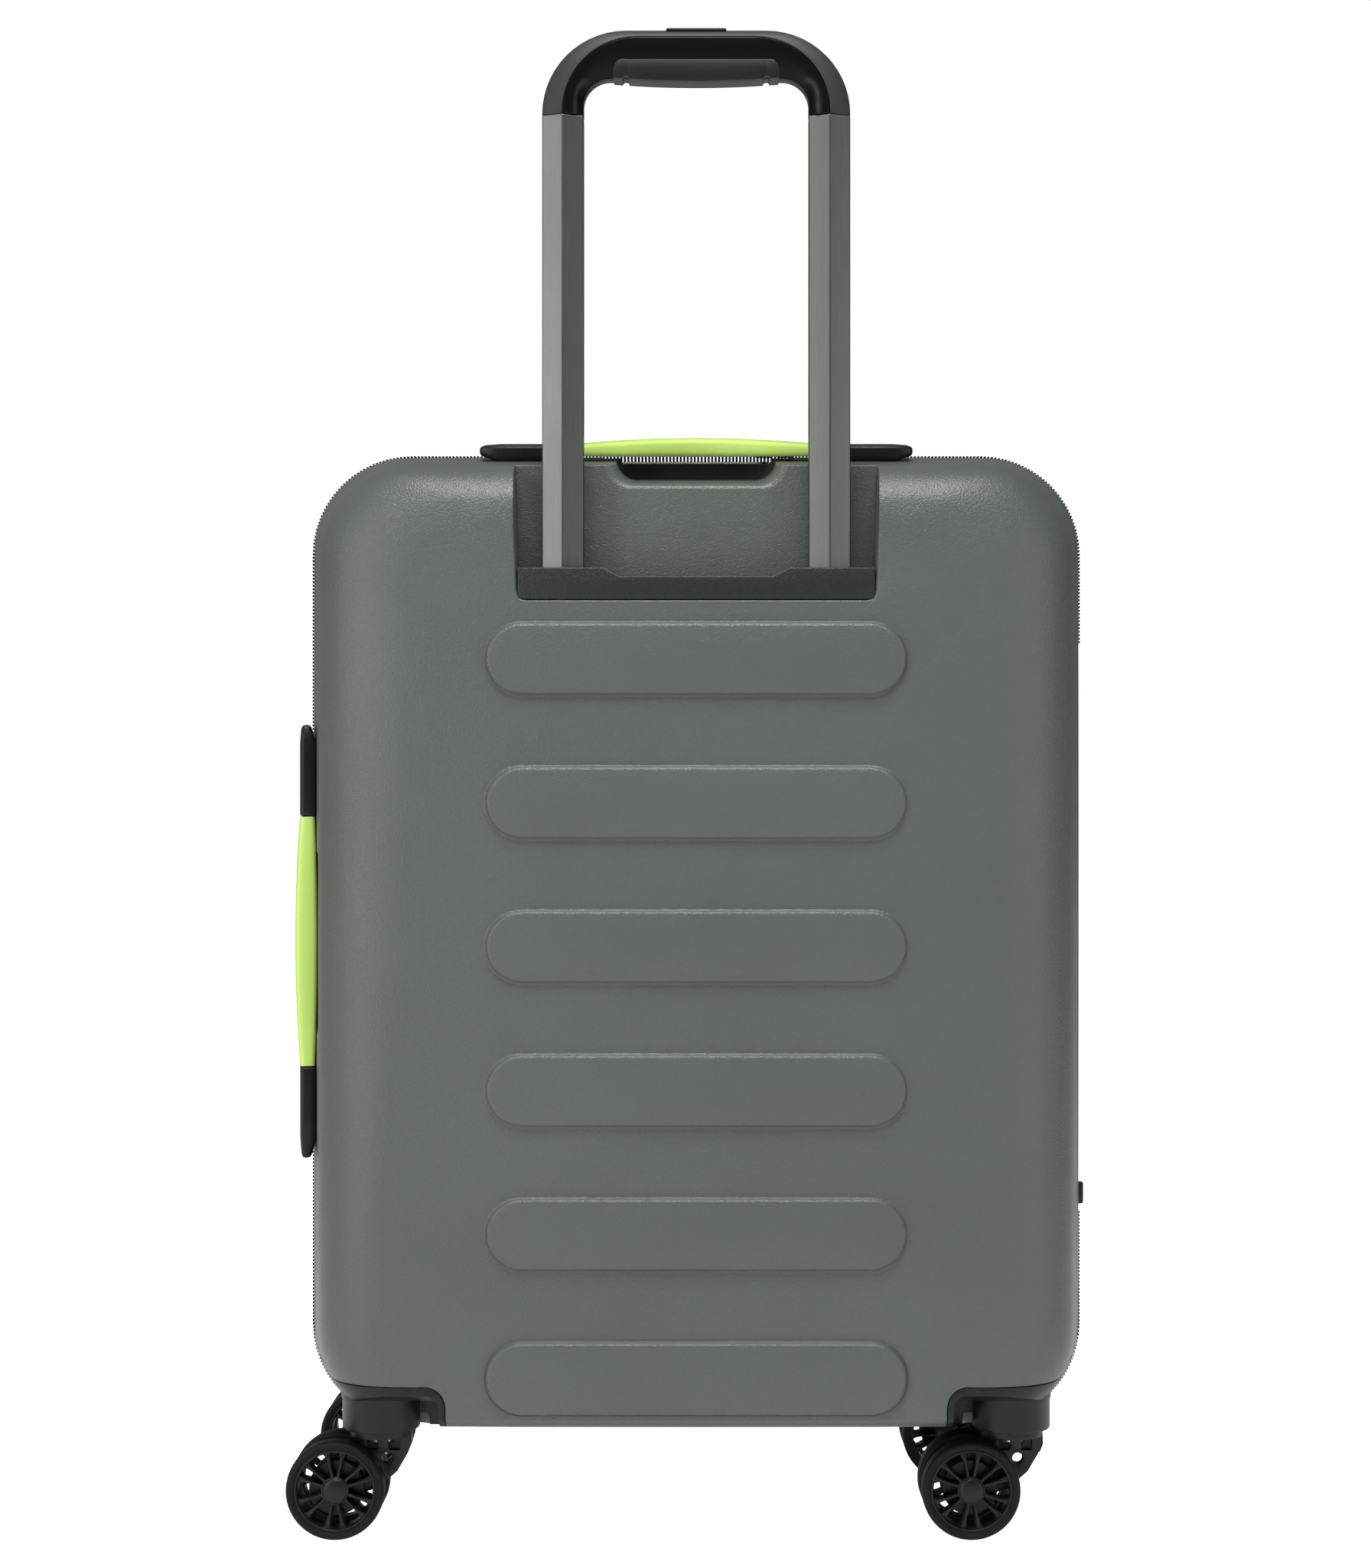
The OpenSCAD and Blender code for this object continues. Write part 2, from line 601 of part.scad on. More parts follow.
// A wheel housing of the back half: its outer skin, a flange behind the shell, the arch and the cup
module housing(s) color(BLACK) {
    at = [s * swivel_x, -swivel_y, 0];
    difference() {
        union() {
            intersection() {
                pillow(0.4);
                difference() {
                    patch(s, -0.15);
                    translate(at) cylinder(r = arch_r, h = arch_z);
                    cup_bevel(s);
                    intersection() {
                        pillow(3.4, over);
                        difference() {
                            translate([0, 0, 1]) block(-case_w, case_w, -2 * half_depth, over, 0, rim_z1);
                            translate(at) translate([0, 0, arch_z - 1]) cylinder(r = arch_r + plate_t, h = plate_t + 1);
                            translate(at) cylinder(r = arch_r + plate_t, h = arch_z);
                            cup_bevel(s, plate_t);
                        }
                    }
                }
            }
            difference() {
                intersection() { pillow(shell_wall + 0.1); patch(s, 10); }
                pillow(shell_wall + 0.1 + flange_t, over);
                translate(at) cylinder(r = arch_r, h = arch_z);
                cup_bevel(s);
                block(-case_w, case_w, -tape_d - 0.4, over, 0, rim_z1);
            }
            translate(at) translate([0, 0, cup_z]) cylinder(r = cup_r, h = cup_top - cup_z);
        }
        translate(at) cylinder(r = kingpin_r, h = cup_top + 1);
        screw_shafts();
    }
}

pin_head_r = 6.5;
pin_head_t = 2.8;
fork_disc_z = fork_top - fork_disc_t;
module kingpins() color(STEEL) for (s = [-1, 1]) translate([s * swivel_x, -swivel_y, 0]) {
    translate([0, 0, fork_disc_z - 0.2 - pin_head_t]) cylinder(r = pin_head_r, h = pin_head_t);
    translate([0, 0, fork_disc_z - 0.2 - eps]) cylinder(r = kingpin_r, h = kingpin_top - fork_disc_z);
    translate([0, 0, cup_top]) cylinder(r = pin_head_r, h = 2);
}
module rear_kingpins() kingpins();
module front_kingpins() mirror_y() kingpins();

module housing_screws() color(STEEL) {
    screw_shafts();
    for (s = [-1, 1], p = SCREWS) translate([s * p[0], -flange_face, p[1]]) rotate([-90, 0, 0])
        cylinder(r = screw_head_r, h = 2);
}
module rear_housing_screws() housing_screws();
module front_housing_screws() mirror_y() housing_screws();

web_t = 10;
fork_disc_r = 15.5;
boss_r = 8;
pivot_boss_h = 5.4;
fork_hole_r = 2.6;
wheel_side = web_t / 2 + 0.8;               // a wheel's inner face, from the fork's middle
axle_half = wheel_side + wheel_t - 2.6;

// A fork in its own frame: the swivel axis is Z, and the axle trails along -X
module fork() color(BLACK) difference() {
    union() {
        translate([0, 0, fork_disc_z]) cylinder(r = fork_disc_r, h = fork_disc_t);
        translate([0, 0, fork_disc_z - pivot_boss_h]) cylinder(r = boss_r, h = pivot_boss_h + 1);
        along_y(-web_t / 2, web_t / 2) {
            polygon([[-13, fork_disc_z + 1], [15, fork_disc_z + 1], [15.2, fork_disc_z - 4], [13, axle_z + 15],
                     [8, axle_z + 6.5], [0, axle_z - 0.5], [-trail, axle_z - boss_r + 0.5],
                     [-trail - boss_r + 1.2, axle_z + 3.4]]);
            translate([-trail, axle_z]) circle(boss_r);
        }
    }
    translate([0, 0, fork_disc_z - 1]) cylinder(r = kingpin_r + 0.06, h = fork_disc_t + 2);
    translate([0, 0, fork_disc_z - pin_head_t - 0.6]) cylinder(r = pin_head_r + 0.3, h = pin_head_t + 0.6);
    translate([3, 0, axle_z + 13]) rotate([90, 0, 0]) cylinder(r = fork_hole_r, h = web_t + 2, center = true);
    translate([-trail, 0, axle_z]) rotate([90, 0, 0]) cylinder(r = axle_r + 0.03, h = web_t + 2, center = true);
}

module axle() color(STEEL) translate([-trail, 0, axle_z]) rotate([90, 0, 0])
    cylinder(r = axle_r, h = 2 * axle_half, center = true);

// A wheel lies on -Y of the fork, its outer face away from the fork
tyre_bevel = 1.6;
rim_t = 1.8;
hub_r = 6.6;
spoke_w = 1.7;
module tyre() color(BLACK) translate([-trail, -wheel_side, axle_z]) rotate([90, 0, 0]) rotate_extrude()
    polygon([[wheel_r - tyre_t, 0], [wheel_r - tyre_bevel, 0], [wheel_r, tyre_bevel],
             [wheel_r, wheel_t - tyre_bevel], [wheel_r - tyre_bevel, wheel_t], [wheel_r - tyre_t, wheel_t]]);
module hub() color(BLACK) translate([-trail, -wheel_side, axle_z]) rotate([90, 0, 0]) difference() {
    union() {
        cylinder(r = hub_r, h = wheel_t - 0.6);
        difference() {
            cylinder(r = wheel_r - tyre_t - 0.03, h = wheel_t - 0.6);
            translate([0, 0, -1]) cylinder(r = wheel_r - tyre_t - rim_t, h = wheel_t + 2);
        }
        for (i = [0:spokes / 2 - 1], s = [-1, 1]) rotate(i * 720 / spokes + s * 72 / (spokes / 2) + 90)
            translate([hub_r - 1.2, -spoke_w / 2, 2.4]) cube([wheel_r - tyre_t - rim_t - hub_r + 1.6, spoke_w, wheel_t - 4]);
    }
    translate([0, 0, -1]) cylinder(r = axle_r + 0.05, h = axle_half - wheel_side + 1.4);
}

// Places a caster's part at its corner: 0 rear left, 1 rear right, 2 front left, 3 front right
module at_corner(c) {
    translate([(c % 2 == 0 ? -1 : 1) * swivel_x, (c < 2 ? -1 : 1) * swivel_y, 0]) mirror_y(c >= 2) children();
}
module at_wheel(c, w) at_corner(c) mirror_y(w == 1) children();

back_shell();
back_lining();
handle_bezel();
outer_tubes();
tube_foot();
rear_kingpins();
rear_housing_screws();
back_zip_stringer();
hinge_gusset();
zip_end_tab();
top_handle_ends();
side_handle_ends();
packing_straps();
bottom_feet();
middle_tubes();
upper_tubes();
grip_body();
grip_insert();
push_button();
push_rods();
top_handle_grip();
side_handle_grip();
front_shell();
front_lining();
front_kingpins();
front_housing_screws();
front_zip_stringer();
zip_sliders();
lock_case();
for (i = [0:2]) lock_dial(i);
for (c = [0:3]) {
    name = CORNERS[c];
    mirror_y(c >= 2) housing(c % 2 == 0 ? -1 : 1);
    at_corner(c) fork();
    at_corner(c) axle();
    for (w = [0, 1]) {
        at_wheel(c, w) tyre();
        at_wheel(c, w) hub();
    }
}
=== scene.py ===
"""Looks for a hard shell cabin suitcase: shells, pull handle, carry handles, zip, lock, linings and casters."""
import json
import logging
import math
from contextlib import contextmanager
from dataclasses import dataclass
from enum import Enum
from typing import Any, Callable, Iterator, Sequence

import bmesh
import bpy
from mathutils import Matrix, Vector

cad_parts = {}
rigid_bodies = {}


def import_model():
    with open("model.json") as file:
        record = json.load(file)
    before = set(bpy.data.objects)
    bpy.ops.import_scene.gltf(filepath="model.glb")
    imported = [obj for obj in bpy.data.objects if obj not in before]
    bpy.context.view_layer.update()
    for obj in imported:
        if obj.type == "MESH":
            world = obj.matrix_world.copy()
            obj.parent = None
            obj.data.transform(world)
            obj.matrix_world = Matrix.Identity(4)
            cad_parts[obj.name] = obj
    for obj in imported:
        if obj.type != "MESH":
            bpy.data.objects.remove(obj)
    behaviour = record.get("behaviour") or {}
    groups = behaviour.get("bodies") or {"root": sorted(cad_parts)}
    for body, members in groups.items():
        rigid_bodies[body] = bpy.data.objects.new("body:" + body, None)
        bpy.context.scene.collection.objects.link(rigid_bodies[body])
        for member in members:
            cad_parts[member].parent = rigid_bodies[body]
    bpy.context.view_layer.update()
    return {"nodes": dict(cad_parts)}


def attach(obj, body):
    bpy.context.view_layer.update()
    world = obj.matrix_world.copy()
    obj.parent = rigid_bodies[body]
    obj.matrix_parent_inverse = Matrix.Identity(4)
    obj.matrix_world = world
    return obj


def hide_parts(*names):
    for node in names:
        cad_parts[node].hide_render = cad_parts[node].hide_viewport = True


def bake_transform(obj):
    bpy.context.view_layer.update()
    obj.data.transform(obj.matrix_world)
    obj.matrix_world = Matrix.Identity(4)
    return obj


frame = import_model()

LOG = logging.getLogger("suitcase")
MM = 0.001
STRAP_Z = 259.6  # height of the straps' crossing, in millimetres
Colour = tuple[float, float, float]
Test = Callable[[Vector], bool]


class Half(Enum):
    """The two half shells, by the side of the parting plane that each is on."""

    BACK = -1
    FRONT = 1

    @property
    def body(self) -> str:
        """The moving body that this half rides on."""
        return "back_half" if self is Half.BACK else "front_half"


class Side(Enum):
    """Left or right, seen from the pull handle."""

    LEFT = -1
    RIGHT = 1


# ---------------------------------------------------------------- shader building


class Value:
    """A number or colour inside a material, with arithmetic on its operators."""

    def __init__(self, tree: "Tree", socket: Any) -> None:
        """Keeps the tree and the output socket."""
        self.tree = tree
        self.socket = socket

    def math(self, operation: str, *others: "Value | float") -> "Value":
        """Runs a Math node on this value.

        Args:
            operation: the Math node's operation.
            others: the further inputs.

        Returns:
            The node's result.
        """
        inputs = {0: self, **{i + 1: other for i, other in enumerate(others)}}
        return self.tree.add("ShaderNodeMath", inputs, operation=operation)["Value"]

    def __add__(self, other: "Value | float") -> "Value":
        """Sum."""
        return self.math("ADD", other)

    def __mul__(self, other: "Value | float") -> "Value":
        """Product."""
        return self.math("MULTIPLY", other)

    __radd__, __rmul__ = __add__, __mul__

    def clamp(self, low: float, high: float) -> "Value":
        """Maps low..high to 0..1 and stops there."""
        return self.tree.add("ShaderNodeMapRange", {0: self, 1: low, 2: high, 3: 0.0, 4: 1.0}, clamp=True)["Result"]


class Made:
    """A node that has been added, whose outputs are read by name or place."""

    def __init__(self, tree: "Tree", node: bpy.types.Node) -> None:
        """Keeps the tree and the node."""
        self.tree = tree
        self.node = node

    def __getitem__(self, name: str | int) -> Value:
        """One of the node's outputs."""
        return Value(self.tree, self.node.outputs[name])


class Tree:
    """A material's nodes."""

    def __init__(self, name: str) -> None:
        """Starts a material with a plain Principled shader."""
        self.material = bpy.data.materials.new(name)
        self.material.use_nodes = True
        self.nodes = self.material.node_tree.nodes
        self.links = self.material.node_tree.links
        self.shader = next(n for n in self.nodes if n.type == "BSDF_PRINCIPLED")

    def add(self, kind: str, inputs: dict[Any, Any] | None = None, **settings: Any) -> Made:
        """Adds any node.

        Args:
            kind: the node's type name.
            inputs: values or links for its inputs, by name or place.
            settings: the node's own options.

        Returns:
            The node.
        """
        node = self.nodes.new(kind)
        for name, value in settings.items():
            setattr(node, name, value)
        for name, value in (inputs or {}).items():
            self.feed(node.inputs[name], value)
        return Made(self, node)

    def feed(self, socket: bpy.types.NodeSocket, value: Any) -> None:
        """Sets or links one input socket."""
        if isinstance(value, Value):
            self.links.new(value.socket, socket)
        elif isinstance(value, tuple) and len(value) == 3 and socket.type == "RGBA":
            socket.default_value = (*value, 1.0)
        else:
            socket.default_value = value

    def place(self, scale: Sequence[float] = (1, 1, 1), turn: Sequence[float] = (0, 0, 0)) -> Value:
        """Object coordinates, in metres, stretched and turned."""
        where = self.add("ShaderNodeTexCoord")["Object"]
        inputs = {"Vector": where, "Scale": tuple(scale), "Rotation": tuple(turn)}
        return self.add("ShaderNodeMapping", inputs)["Vector"]

    def noise(self, scale: float, detail: float = 2.0, where: Value | None = None) -> Value:
        """Noise from 0 to 1 with features about 1/scale metres across."""
        inputs = {"Vector": where or self.place(), "Scale": scale, "Detail": detail, "Roughness": 0.55}
        return self.add("ShaderNodeTexNoise", inputs)[0]

    def mix(self, amount: Value, low: Colour, high: Colour) -> Value:
        """A colour between two, by amount."""
        return self.add("ShaderNodeMix", {0: amount, 6: low, 7: high}, data_type="RGBA")[2]

    def bump(self, height: Value, depth: float, base: Value | None = None) -> Value:
        """A normal bent by a height from 0 to 1 over depth metres."""
        inputs = {"Height": height, "Distance": depth, "Strength": 1.0}
        if base is not None:
            inputs["Normal"] = base
        return self.add("ShaderNodeBump", inputs)["Normal"]

    def rounded(self, radius: float) -> Value:
        """A normal that is rounded over the piece's sharp edges."""
        return self.add("ShaderNodeBevel", {"Radius": radius}, samples=6)["Normal"]

    def dress(self, **inputs: Any) -> bpy.types.Material:
        """Feeds the Principled shader's sockets, whose names are given with underscores."""
        for name, value in inputs.items():
            self.feed(self.shader.inputs[name.replace("_", " ")], value)
        return self.material


@dataclass(frozen=True)
class MouldedPlastic:
    """A moulded plastic with a fine spark-eroded grain."""

    name: str
    colour: Colour
    rough: float
    grain: float = 2600.0
    depth: float = 0.00004
    edge: float = 0.0006
    drift: float = 0.12
    specular: float = 0.5

    def make(self) -> bpy.types.Material:
        """Builds the material."""
        tree = Tree(self.name)
        broad = tree.noise(9.0, 3.0)
        fine = tree.noise(self.grain, 1.5)
        smudge = tree.noise(40.0, 4.0)
        low = tuple(c * (1 - self.drift) for c in self.colour)
        high = tuple(c * (1 + self.drift) for c in self.colour)
        tint = tree.mix((broad * 0.6 + fine * 0.4).clamp(0.3, 0.7), low, high)
        rough = smudge * 0.10 + fine * 0.06 + (self.rough - 0.08)
        normal = tree.bump(fine, self.depth, tree.rounded(self.edge) if self.edge else None)
        return tree.dress(Base_Color=tint, Roughness=rough, Normal=normal, Specular_IOR_Level=self.specular)


@dataclass(frozen=True)
class GrainedPlastic:
    """Black plastic with a coarse leather-like grain."""

    name: str
    colour: Colour
    rough: float
    pebble: float = 1300.0

    def make(self) -> bpy.types.Material:
        """Builds the material."""
        tree = Tree(self.name)
        inputs = {"Vector": tree.place(), "Scale": self.pebble}
        cells = tree.add("ShaderNodeTexVoronoi", inputs, feature="SMOOTH_F1")["Distance"]
        fine = tree.noise(self.pebble * 1.7, 2.0)
        height = cells * 0.7 + fine * 0.3
        tint = tree.mix(height.clamp(0.2, 0.7), tuple(c * 1.8 for c in self.colour), self.colour)
        normal = tree.bump(height, 0.00022, tree.rounded(0.0008))
        rough = fine * 0.12 + (self.rough - 0.06)
        return tree.dress(Base_Color=tint, Roughness=rough, Normal=normal, Specular_IOR_Level=0.4)


@dataclass(frozen=True)
class DrawnMetal:
    """Metal with fine lines drawn along one direction."""

    name: str
    colour: Colour
    rough: float
    along: tuple[float, float, float] = (1.0, 1.0, 0.02)
    lines: float = 3000.0
    edge: float = 0.0004

    def make(self) -> bpy.types.Material:
        """Builds the material."""
        tree = Tree(self.name)
        drawn = tree.noise(self.lines, 2.0, tree.place(self.along))
        cloud = tree.noise(30.0, 3.0)
        low, high = tuple(c * 0.9 for c in self.colour), tuple(min(c * 1.06, 1) for c in self.colour)
        tint = tree.mix(drawn.clamp(0.3, 0.7), low, high)
        normal = tree.bump(drawn, 0.00002, tree.rounded(self.edge))
        rough = drawn * 0.1 + cloud * 0.08 + (self.rough - 0.09)
        return tree.dress(Base_Color=tint, Metallic=1.0, Roughness=rough, Normal=normal)


@dataclass(frozen=True)
class WovenCloth:
    """A plain weave of two sets of threads, square to each other in the plane of the cloth."""

    name: str
    colour: Colour
    thread: float = 0.0005
    rough: float = 0.85
    axes: tuple[str, str] = ("X", "Z")

    def make(self) -> bpy.types.Material:
        """Builds the material."""
        tree = Tree(self.name)
        split = tree.add("ShaderNodeSeparateXYZ", {0: tree.place()})
        turns = math.pi / self.thread
        warp = (split[self.axes[0]] * turns).math("SINE")
        weft = (split[self.axes[1]] * turns).math("SINE")
        weave = (warp * weft) * 0.5 + 0.5
        fuzz = tree.noise(900.0, 3.0)
        shade = weave * 0.7 + fuzz * 0.3
        tint = tree.mix(shade, tuple(c * 0.6 for c in self.colour), tuple(min(c * 1.3, 1) for c in self.colour))
        rough, normal = fuzz * 0.1 + (self.rough - 0.05), tree.bump(shade, self.thread * 0.35)
        return tree.dress(Base_Color=tint, Roughness=rough, Normal=normal, Sheen_Weight=0.25, Specular_IOR_Level=0.25)


class Finishes:
    """Every finish on the case, made once and shared."""

    def __init__(self) -> None:
        """Builds the materials."""
        self.shell = MouldedPlastic("shell_green", (0.068, 0.079, 0.070), 0.38, 1300.0, 0.00034, 0.0012, 0.10).make()
        self.lime = MouldedPlastic("lime_grip", (0.52, 0.74, 0.165),
                                   0.52, 1800.0, 0.00005, 0.001, 0.04, specular=0.3).make()
        self.black = MouldedPlastic("black_plastic", (0.0062, 0.0063, 0.0064),
                                    0.36, 1500.0, 0.00008, 0.0007, 0.1, specular=0.27).make()
        self.matte = MouldedPlastic("matte_black", (0.018, 0.019, 0.019),
                                    0.5, 1500.0, 0.00006, 0.0007, 0.06, specular=0.3).make()
        self.gloss = MouldedPlastic("gloss_black", (0.0034, 0.0034, 0.0038),
                                    0.24, 1200.0, 0.00001, 0.0006, 0.08, specular=0.11).make()
        self.satin = MouldedPlastic("satin_black", (0.009, 0.0095, 0.0095),
                                    0.34, 1500.0, 0.00003, 0.0005, 0.08, specular=0.3).make()
        self.grained = GrainedPlastic("grained_black", (0.0065, 0.0068, 0.0068), 0.45).make()
        self.tyre = MouldedPlastic("tyre_black", (0.0070, 0.0070, 0.0074),
                                   0.5, 900.0, 0.00009, 0.0008, 0.12, specular=0.14).make()
        self.tube = DrawnMetal("satin_tube", (0.128, 0.128, 0.122), 0.40).make()
        self.steel = DrawnMetal("zinc_steel", (0.55, 0.55, 0.57), 0.32, (1.0, 1.0, 1.0), 900.0).make()
        self.slider = DrawnMetal("slider_metal", (0.05, 0.05, 0.052), 0.35, (1.0, 1.0, 1.0), 700.0).make()
        self.tape = WovenCloth("zip_tape", (0.016, 0.016, 0.016), 0.0004, 0.8, ("X", "Y")).make()
        self.lining = WovenCloth("lining_cloth", (0.080, 0.084, 0.090), 0.0006).make()
        self.webbing = WovenCloth("strap_webbing", (0.025, 0.025, 0.026), 0.0011, 0.75).make()
        self.teeth = MouldedPlastic("nylon_teeth", (0.006, 0.006, 0.006),
                                    0.5, 2000.0, 0.00001, 0.0, 0.1, specular=0.2).make()


# ---------------------------------------------------------------- modelling helpers


def deselect() -> None:
    """Leaves nothing selected."""
    for other in bpy.context.selected_objects:
        other.select_set(False)


def activate(piece: bpy.types.Object) -> bpy.types.Object:
    """Makes one object the only one selected."""
    deselect()
    piece.select_set(True)
    bpy.context.view_layer.objects.active = piece
    return piece


@contextmanager
def editing(piece: bpy.types.Object, mode: str = "VERT") -> Iterator[bpy.types.Object]:
    """Opens a mesh for editing with nothing selected in it."""
    activate(piece)
    bpy.ops.object.mode_set(mode="EDIT")
    bpy.ops.mesh.select_mode(type=mode)
    bpy.ops.mesh.select_all(action="DESELECT")
    yield piece
    bpy.ops.object.mode_set(mode="OBJECT")


def pick(piece: bpy.types.Object, test: Test, kind: str = "verts", add: bool = False) -> None:
    """Selects the parts of the open mesh whose middle passes a test.

    Args:
        piece: the mesh that is open for editing.
        test: the test on a middle point, in metres.
        kind: verts, edges or faces.
        add: keeps what is selected already.
    """
    if not add:
        bpy.ops.mesh.select_all(action="DESELECT")
    mesh = bmesh.from_edit_mesh(piece.data)
    for part in getattr(mesh, kind):
        if kind == "verts":
            middle = part.co
        elif kind == "edges":
            middle = (part.verts[0].co + part.verts[1].co) / 2
        else:
            middle = part.calc_center_median()
        if test(middle):
            part.select_set(True)
    bmesh.update_edit_mesh(piece.data)


def pick_all() -> None:
    """Selects the whole of the open mesh."""
    bpy.ops.mesh.select_all(action="SELECT")


def shift(x: float = 0, y: float = 0, z: float = 0) -> None:
    """Moves the selection, in millimetres."""
    bpy.ops.transform.translate(value=(x * MM, y * MM, z * MM))


def stretch(x: float, y: float, z: float, about: Sequence[float]) -> None:
    """Scales the selection about a point given in millimetres."""
    bpy.ops.transform.resize(value=(x, y, z), center_override=tuple(c * MM for c in about))


def extrude(y: float = 0, z: float = 0) -> None:
    """Extrudes the selection and moves what is new, in millimetres."""
    bpy.ops.mesh.extrude_region_move(TRANSFORM_OT_translate={"value": (0, y * MM, z * MM)})


def name_it(piece: bpy.types.Object, name: str) -> bpy.types.Object:
    """Names an object and its mesh."""
    piece.name = name
    piece.data.name = name
    return piece


def settle(piece: bpy.types.Object) -> bpy.types.Object:
    """Applies an object's place, turn and size to its mesh."""
    activate(piece)
    bpy.ops.object.transform_apply(location=True, rotation=True, scale=True)
    return piece


def block(name: str, low: Sequence[float], high: Sequence[float]) -> bpy.types.Object:
    """A box between two corners given in millimetres, as a start for a piece."""
    deselect()
    middle = [(a + b) / 2 * MM for a, b in zip(low, high)]
    bpy.ops.mesh.primitive_cube_add(size=1, location=middle)
    piece = bpy.context.object
    piece.scale = [abs(b - a) * MM for a, b in zip(low, high)]
    return settle(name_it(piece, name))


def outline(name: str, half_w: float, low: float, high: float, radius: float, y: float,
            steps: int = 10) -> bpy.types.Object:
    """A flat rounded rectangle, upright and facing -Y, sizes in millimetres."""
    deselect()
    middle = (0, y * MM, (low + high) / 2 * MM)
    bpy.ops.mesh.primitive_plane_add(size=1, location=middle, rotation=(math.pi / 2, 0, 0))
    piece = bpy.context.object
    piece.scale = (2 * half_w * MM, (high - low) * MM, 1)
    settle(name_it(piece, name))
    with editing(piece):
        pick_all()
        bpy.ops.mesh.bevel(offset=radius * MM, segments=steps, affect="VERTICES", clamp_overlap=False)
    return piece


def rod(name: str, radius: float, start: Sequence[float], length: float, axis: str,
        sides: int = 48) -> bpy.types.Object:
    """A cylinder from a point along +X, +Y or +Z, sizes in millimetres."""
    deselect()
    step = {"X": (1, 0, 0), "Y": (0, 1, 0), "Z": (0, 0, 1)}[axis]
    turn = {"X": (0, math.pi / 2, 0), "Y": (math.pi / 2, 0, 0), "Z": (0, 0, 0)}[axis]
    middle = [(s + d * length / 2) * MM for s, d in zip(start, step)]
    bpy.ops.mesh.primitive_cylinder_add(vertices=sides, radius=radius * MM, depth=length * MM, location=middle,
                                        rotation=turn)
    return settle(name_it(bpy.context.object, name))


def modifier(piece: bpy.types.Object, kind: str, **settings: Any) -> bpy.types.Object:
    """Adds one modifier and applies it.

    Args:
        piece: the object.
        kind: the modifier's type.
        settings: its options.

    Returns:
        The object.
    """
    activate(piece)
    made = piece.modifiers.new(kind.lower(), kind)
    for name, value in settings.items():
        setattr(made, name, value)
    bpy.ops.object.modifier_apply(modifier=made.name)
    return piece


def cut(piece: bpy.types.Object, cutter: bpy.types.Object, operation: str = "DIFFERENCE") -> bpy.types.Object:
    """Cuts, joins or keeps what is common with another solid, which is used up."""
    modifier(piece, "BOOLEAN", object=cutter, operation=operation, solver="EXACT")
    discard(cutter)
    return piece


def join(name: str, pieces: Sequence[bpy.types.Object]) -> bpy.types.Object:
    """Makes several meshes one object."""
    activate(pieces[0])
    for other in pieces[1:]:
        other.select_set(True)
    bpy.ops.object.join()
    return name_it(bpy.context.object, name)


def discard(piece: bpy.types.Object) -> None:
    """Removes an object that is used up."""
    bpy.data.objects.remove(piece, do_unlink=True)


def copy_of(piece: bpy.types.Object, name: str) -> bpy.types.Object:
    """A copy of an object with its own mesh."""
    made = piece.copy()
    made.data = piece.data.copy()
    bpy.context.scene.collection.objects.link(made)
    return name_it(made, name)


def outwards(piece: bpy.types.Object) -> bpy.types.Object:
    """Turns every face of a closed mesh outwards."""
    with editing(piece):
        pick_all()
        bpy.ops.mesh.normals_make_consistent(inside=False)
    return piece


def mirrored(piece: bpy.types.Object, axis: int, name: str) -> bpy.types.Object:
    """A copy reflected through the origin's plane across an axis, with its faces outwards."""
    made = copy_of(piece, name)
    made.scale = [-1 if i == axis else 1 for i in range(3)]
    settle(made)
    outwards(made)
    return made


def reflected(piece: bpy.types.Object, axis: int, name: str) -> bpy.types.Object:
    """Replaces an object by its reflection."""
    made = mirrored(piece, axis, name)
    discard(piece)
    return made


def tidy(piece: bpy.types.Object) -> bpy.types.Object:
    """Merges doubles and turns the faces outwards."""
    with editing(piece):
        pick_all()
        bpy.ops.mesh.remove_doubles(threshold=0.00001)
        bpy.ops.mesh.normals_make_consistent(inside=False)
    return piece


def bevel_edges(piece: bpy.types.Object, test: Test, width: float, segments: int) -> None:
    """Rounds the edges whose middle passes a test, by a width in millimetres."""
    with editing(piece, "EDGE"):
        pick(piece, test, "edges")
        bpy.ops.mesh.bevel(offset=width * MM, segments=segments)


def subdivide_edges(piece: bpy.types.Object, test: Test, cuts: int) -> None:
    """Divides the edges whose middle passes a test."""
    with editing(piece, "EDGE"):
        pick(piece, test, "edges")
        bpy.ops.mesh.subdivide(number_cuts=cuts)


def smooth(piece: bpy.types.Object, angle: float = 35.0) -> bpy.types.Object:
    """Shades a mesh smooth except over edges sharper than an angle."""
    activate(piece)
    bpy.ops.object.shade_smooth_by_angle(angle=math.radians(angle))
    return piece


def chain(name: str, points: Sequence[Sequence[float]]) -> bpy.types.Object:
    """An open run of edges through points given in millimetres, drawn by extruding one point."""
    deselect()
    bpy.ops.mesh.primitive_plane_add(size=0.001, location=(0, 0, 0))
    piece = settle(name_it(bpy.context.object, name))
    with editing(piece):
        pick(piece, lambda p: not (p.x < 0 and p.y < 0))
        bpy.ops.mesh.delete(type="VERT")
        pick_all()
        at = Vector((-0.0005, -0.0005, 0))
        for i, point in enumerate(points):
            step = Vector(point) * MM - at
            if i:
                bpy.ops.mesh.extrude_vertices_move(TRANSFORM_OT_translate={"value": step})
            else:
                bpy.ops.transform.translate(value=step)
            at += step
    return piece


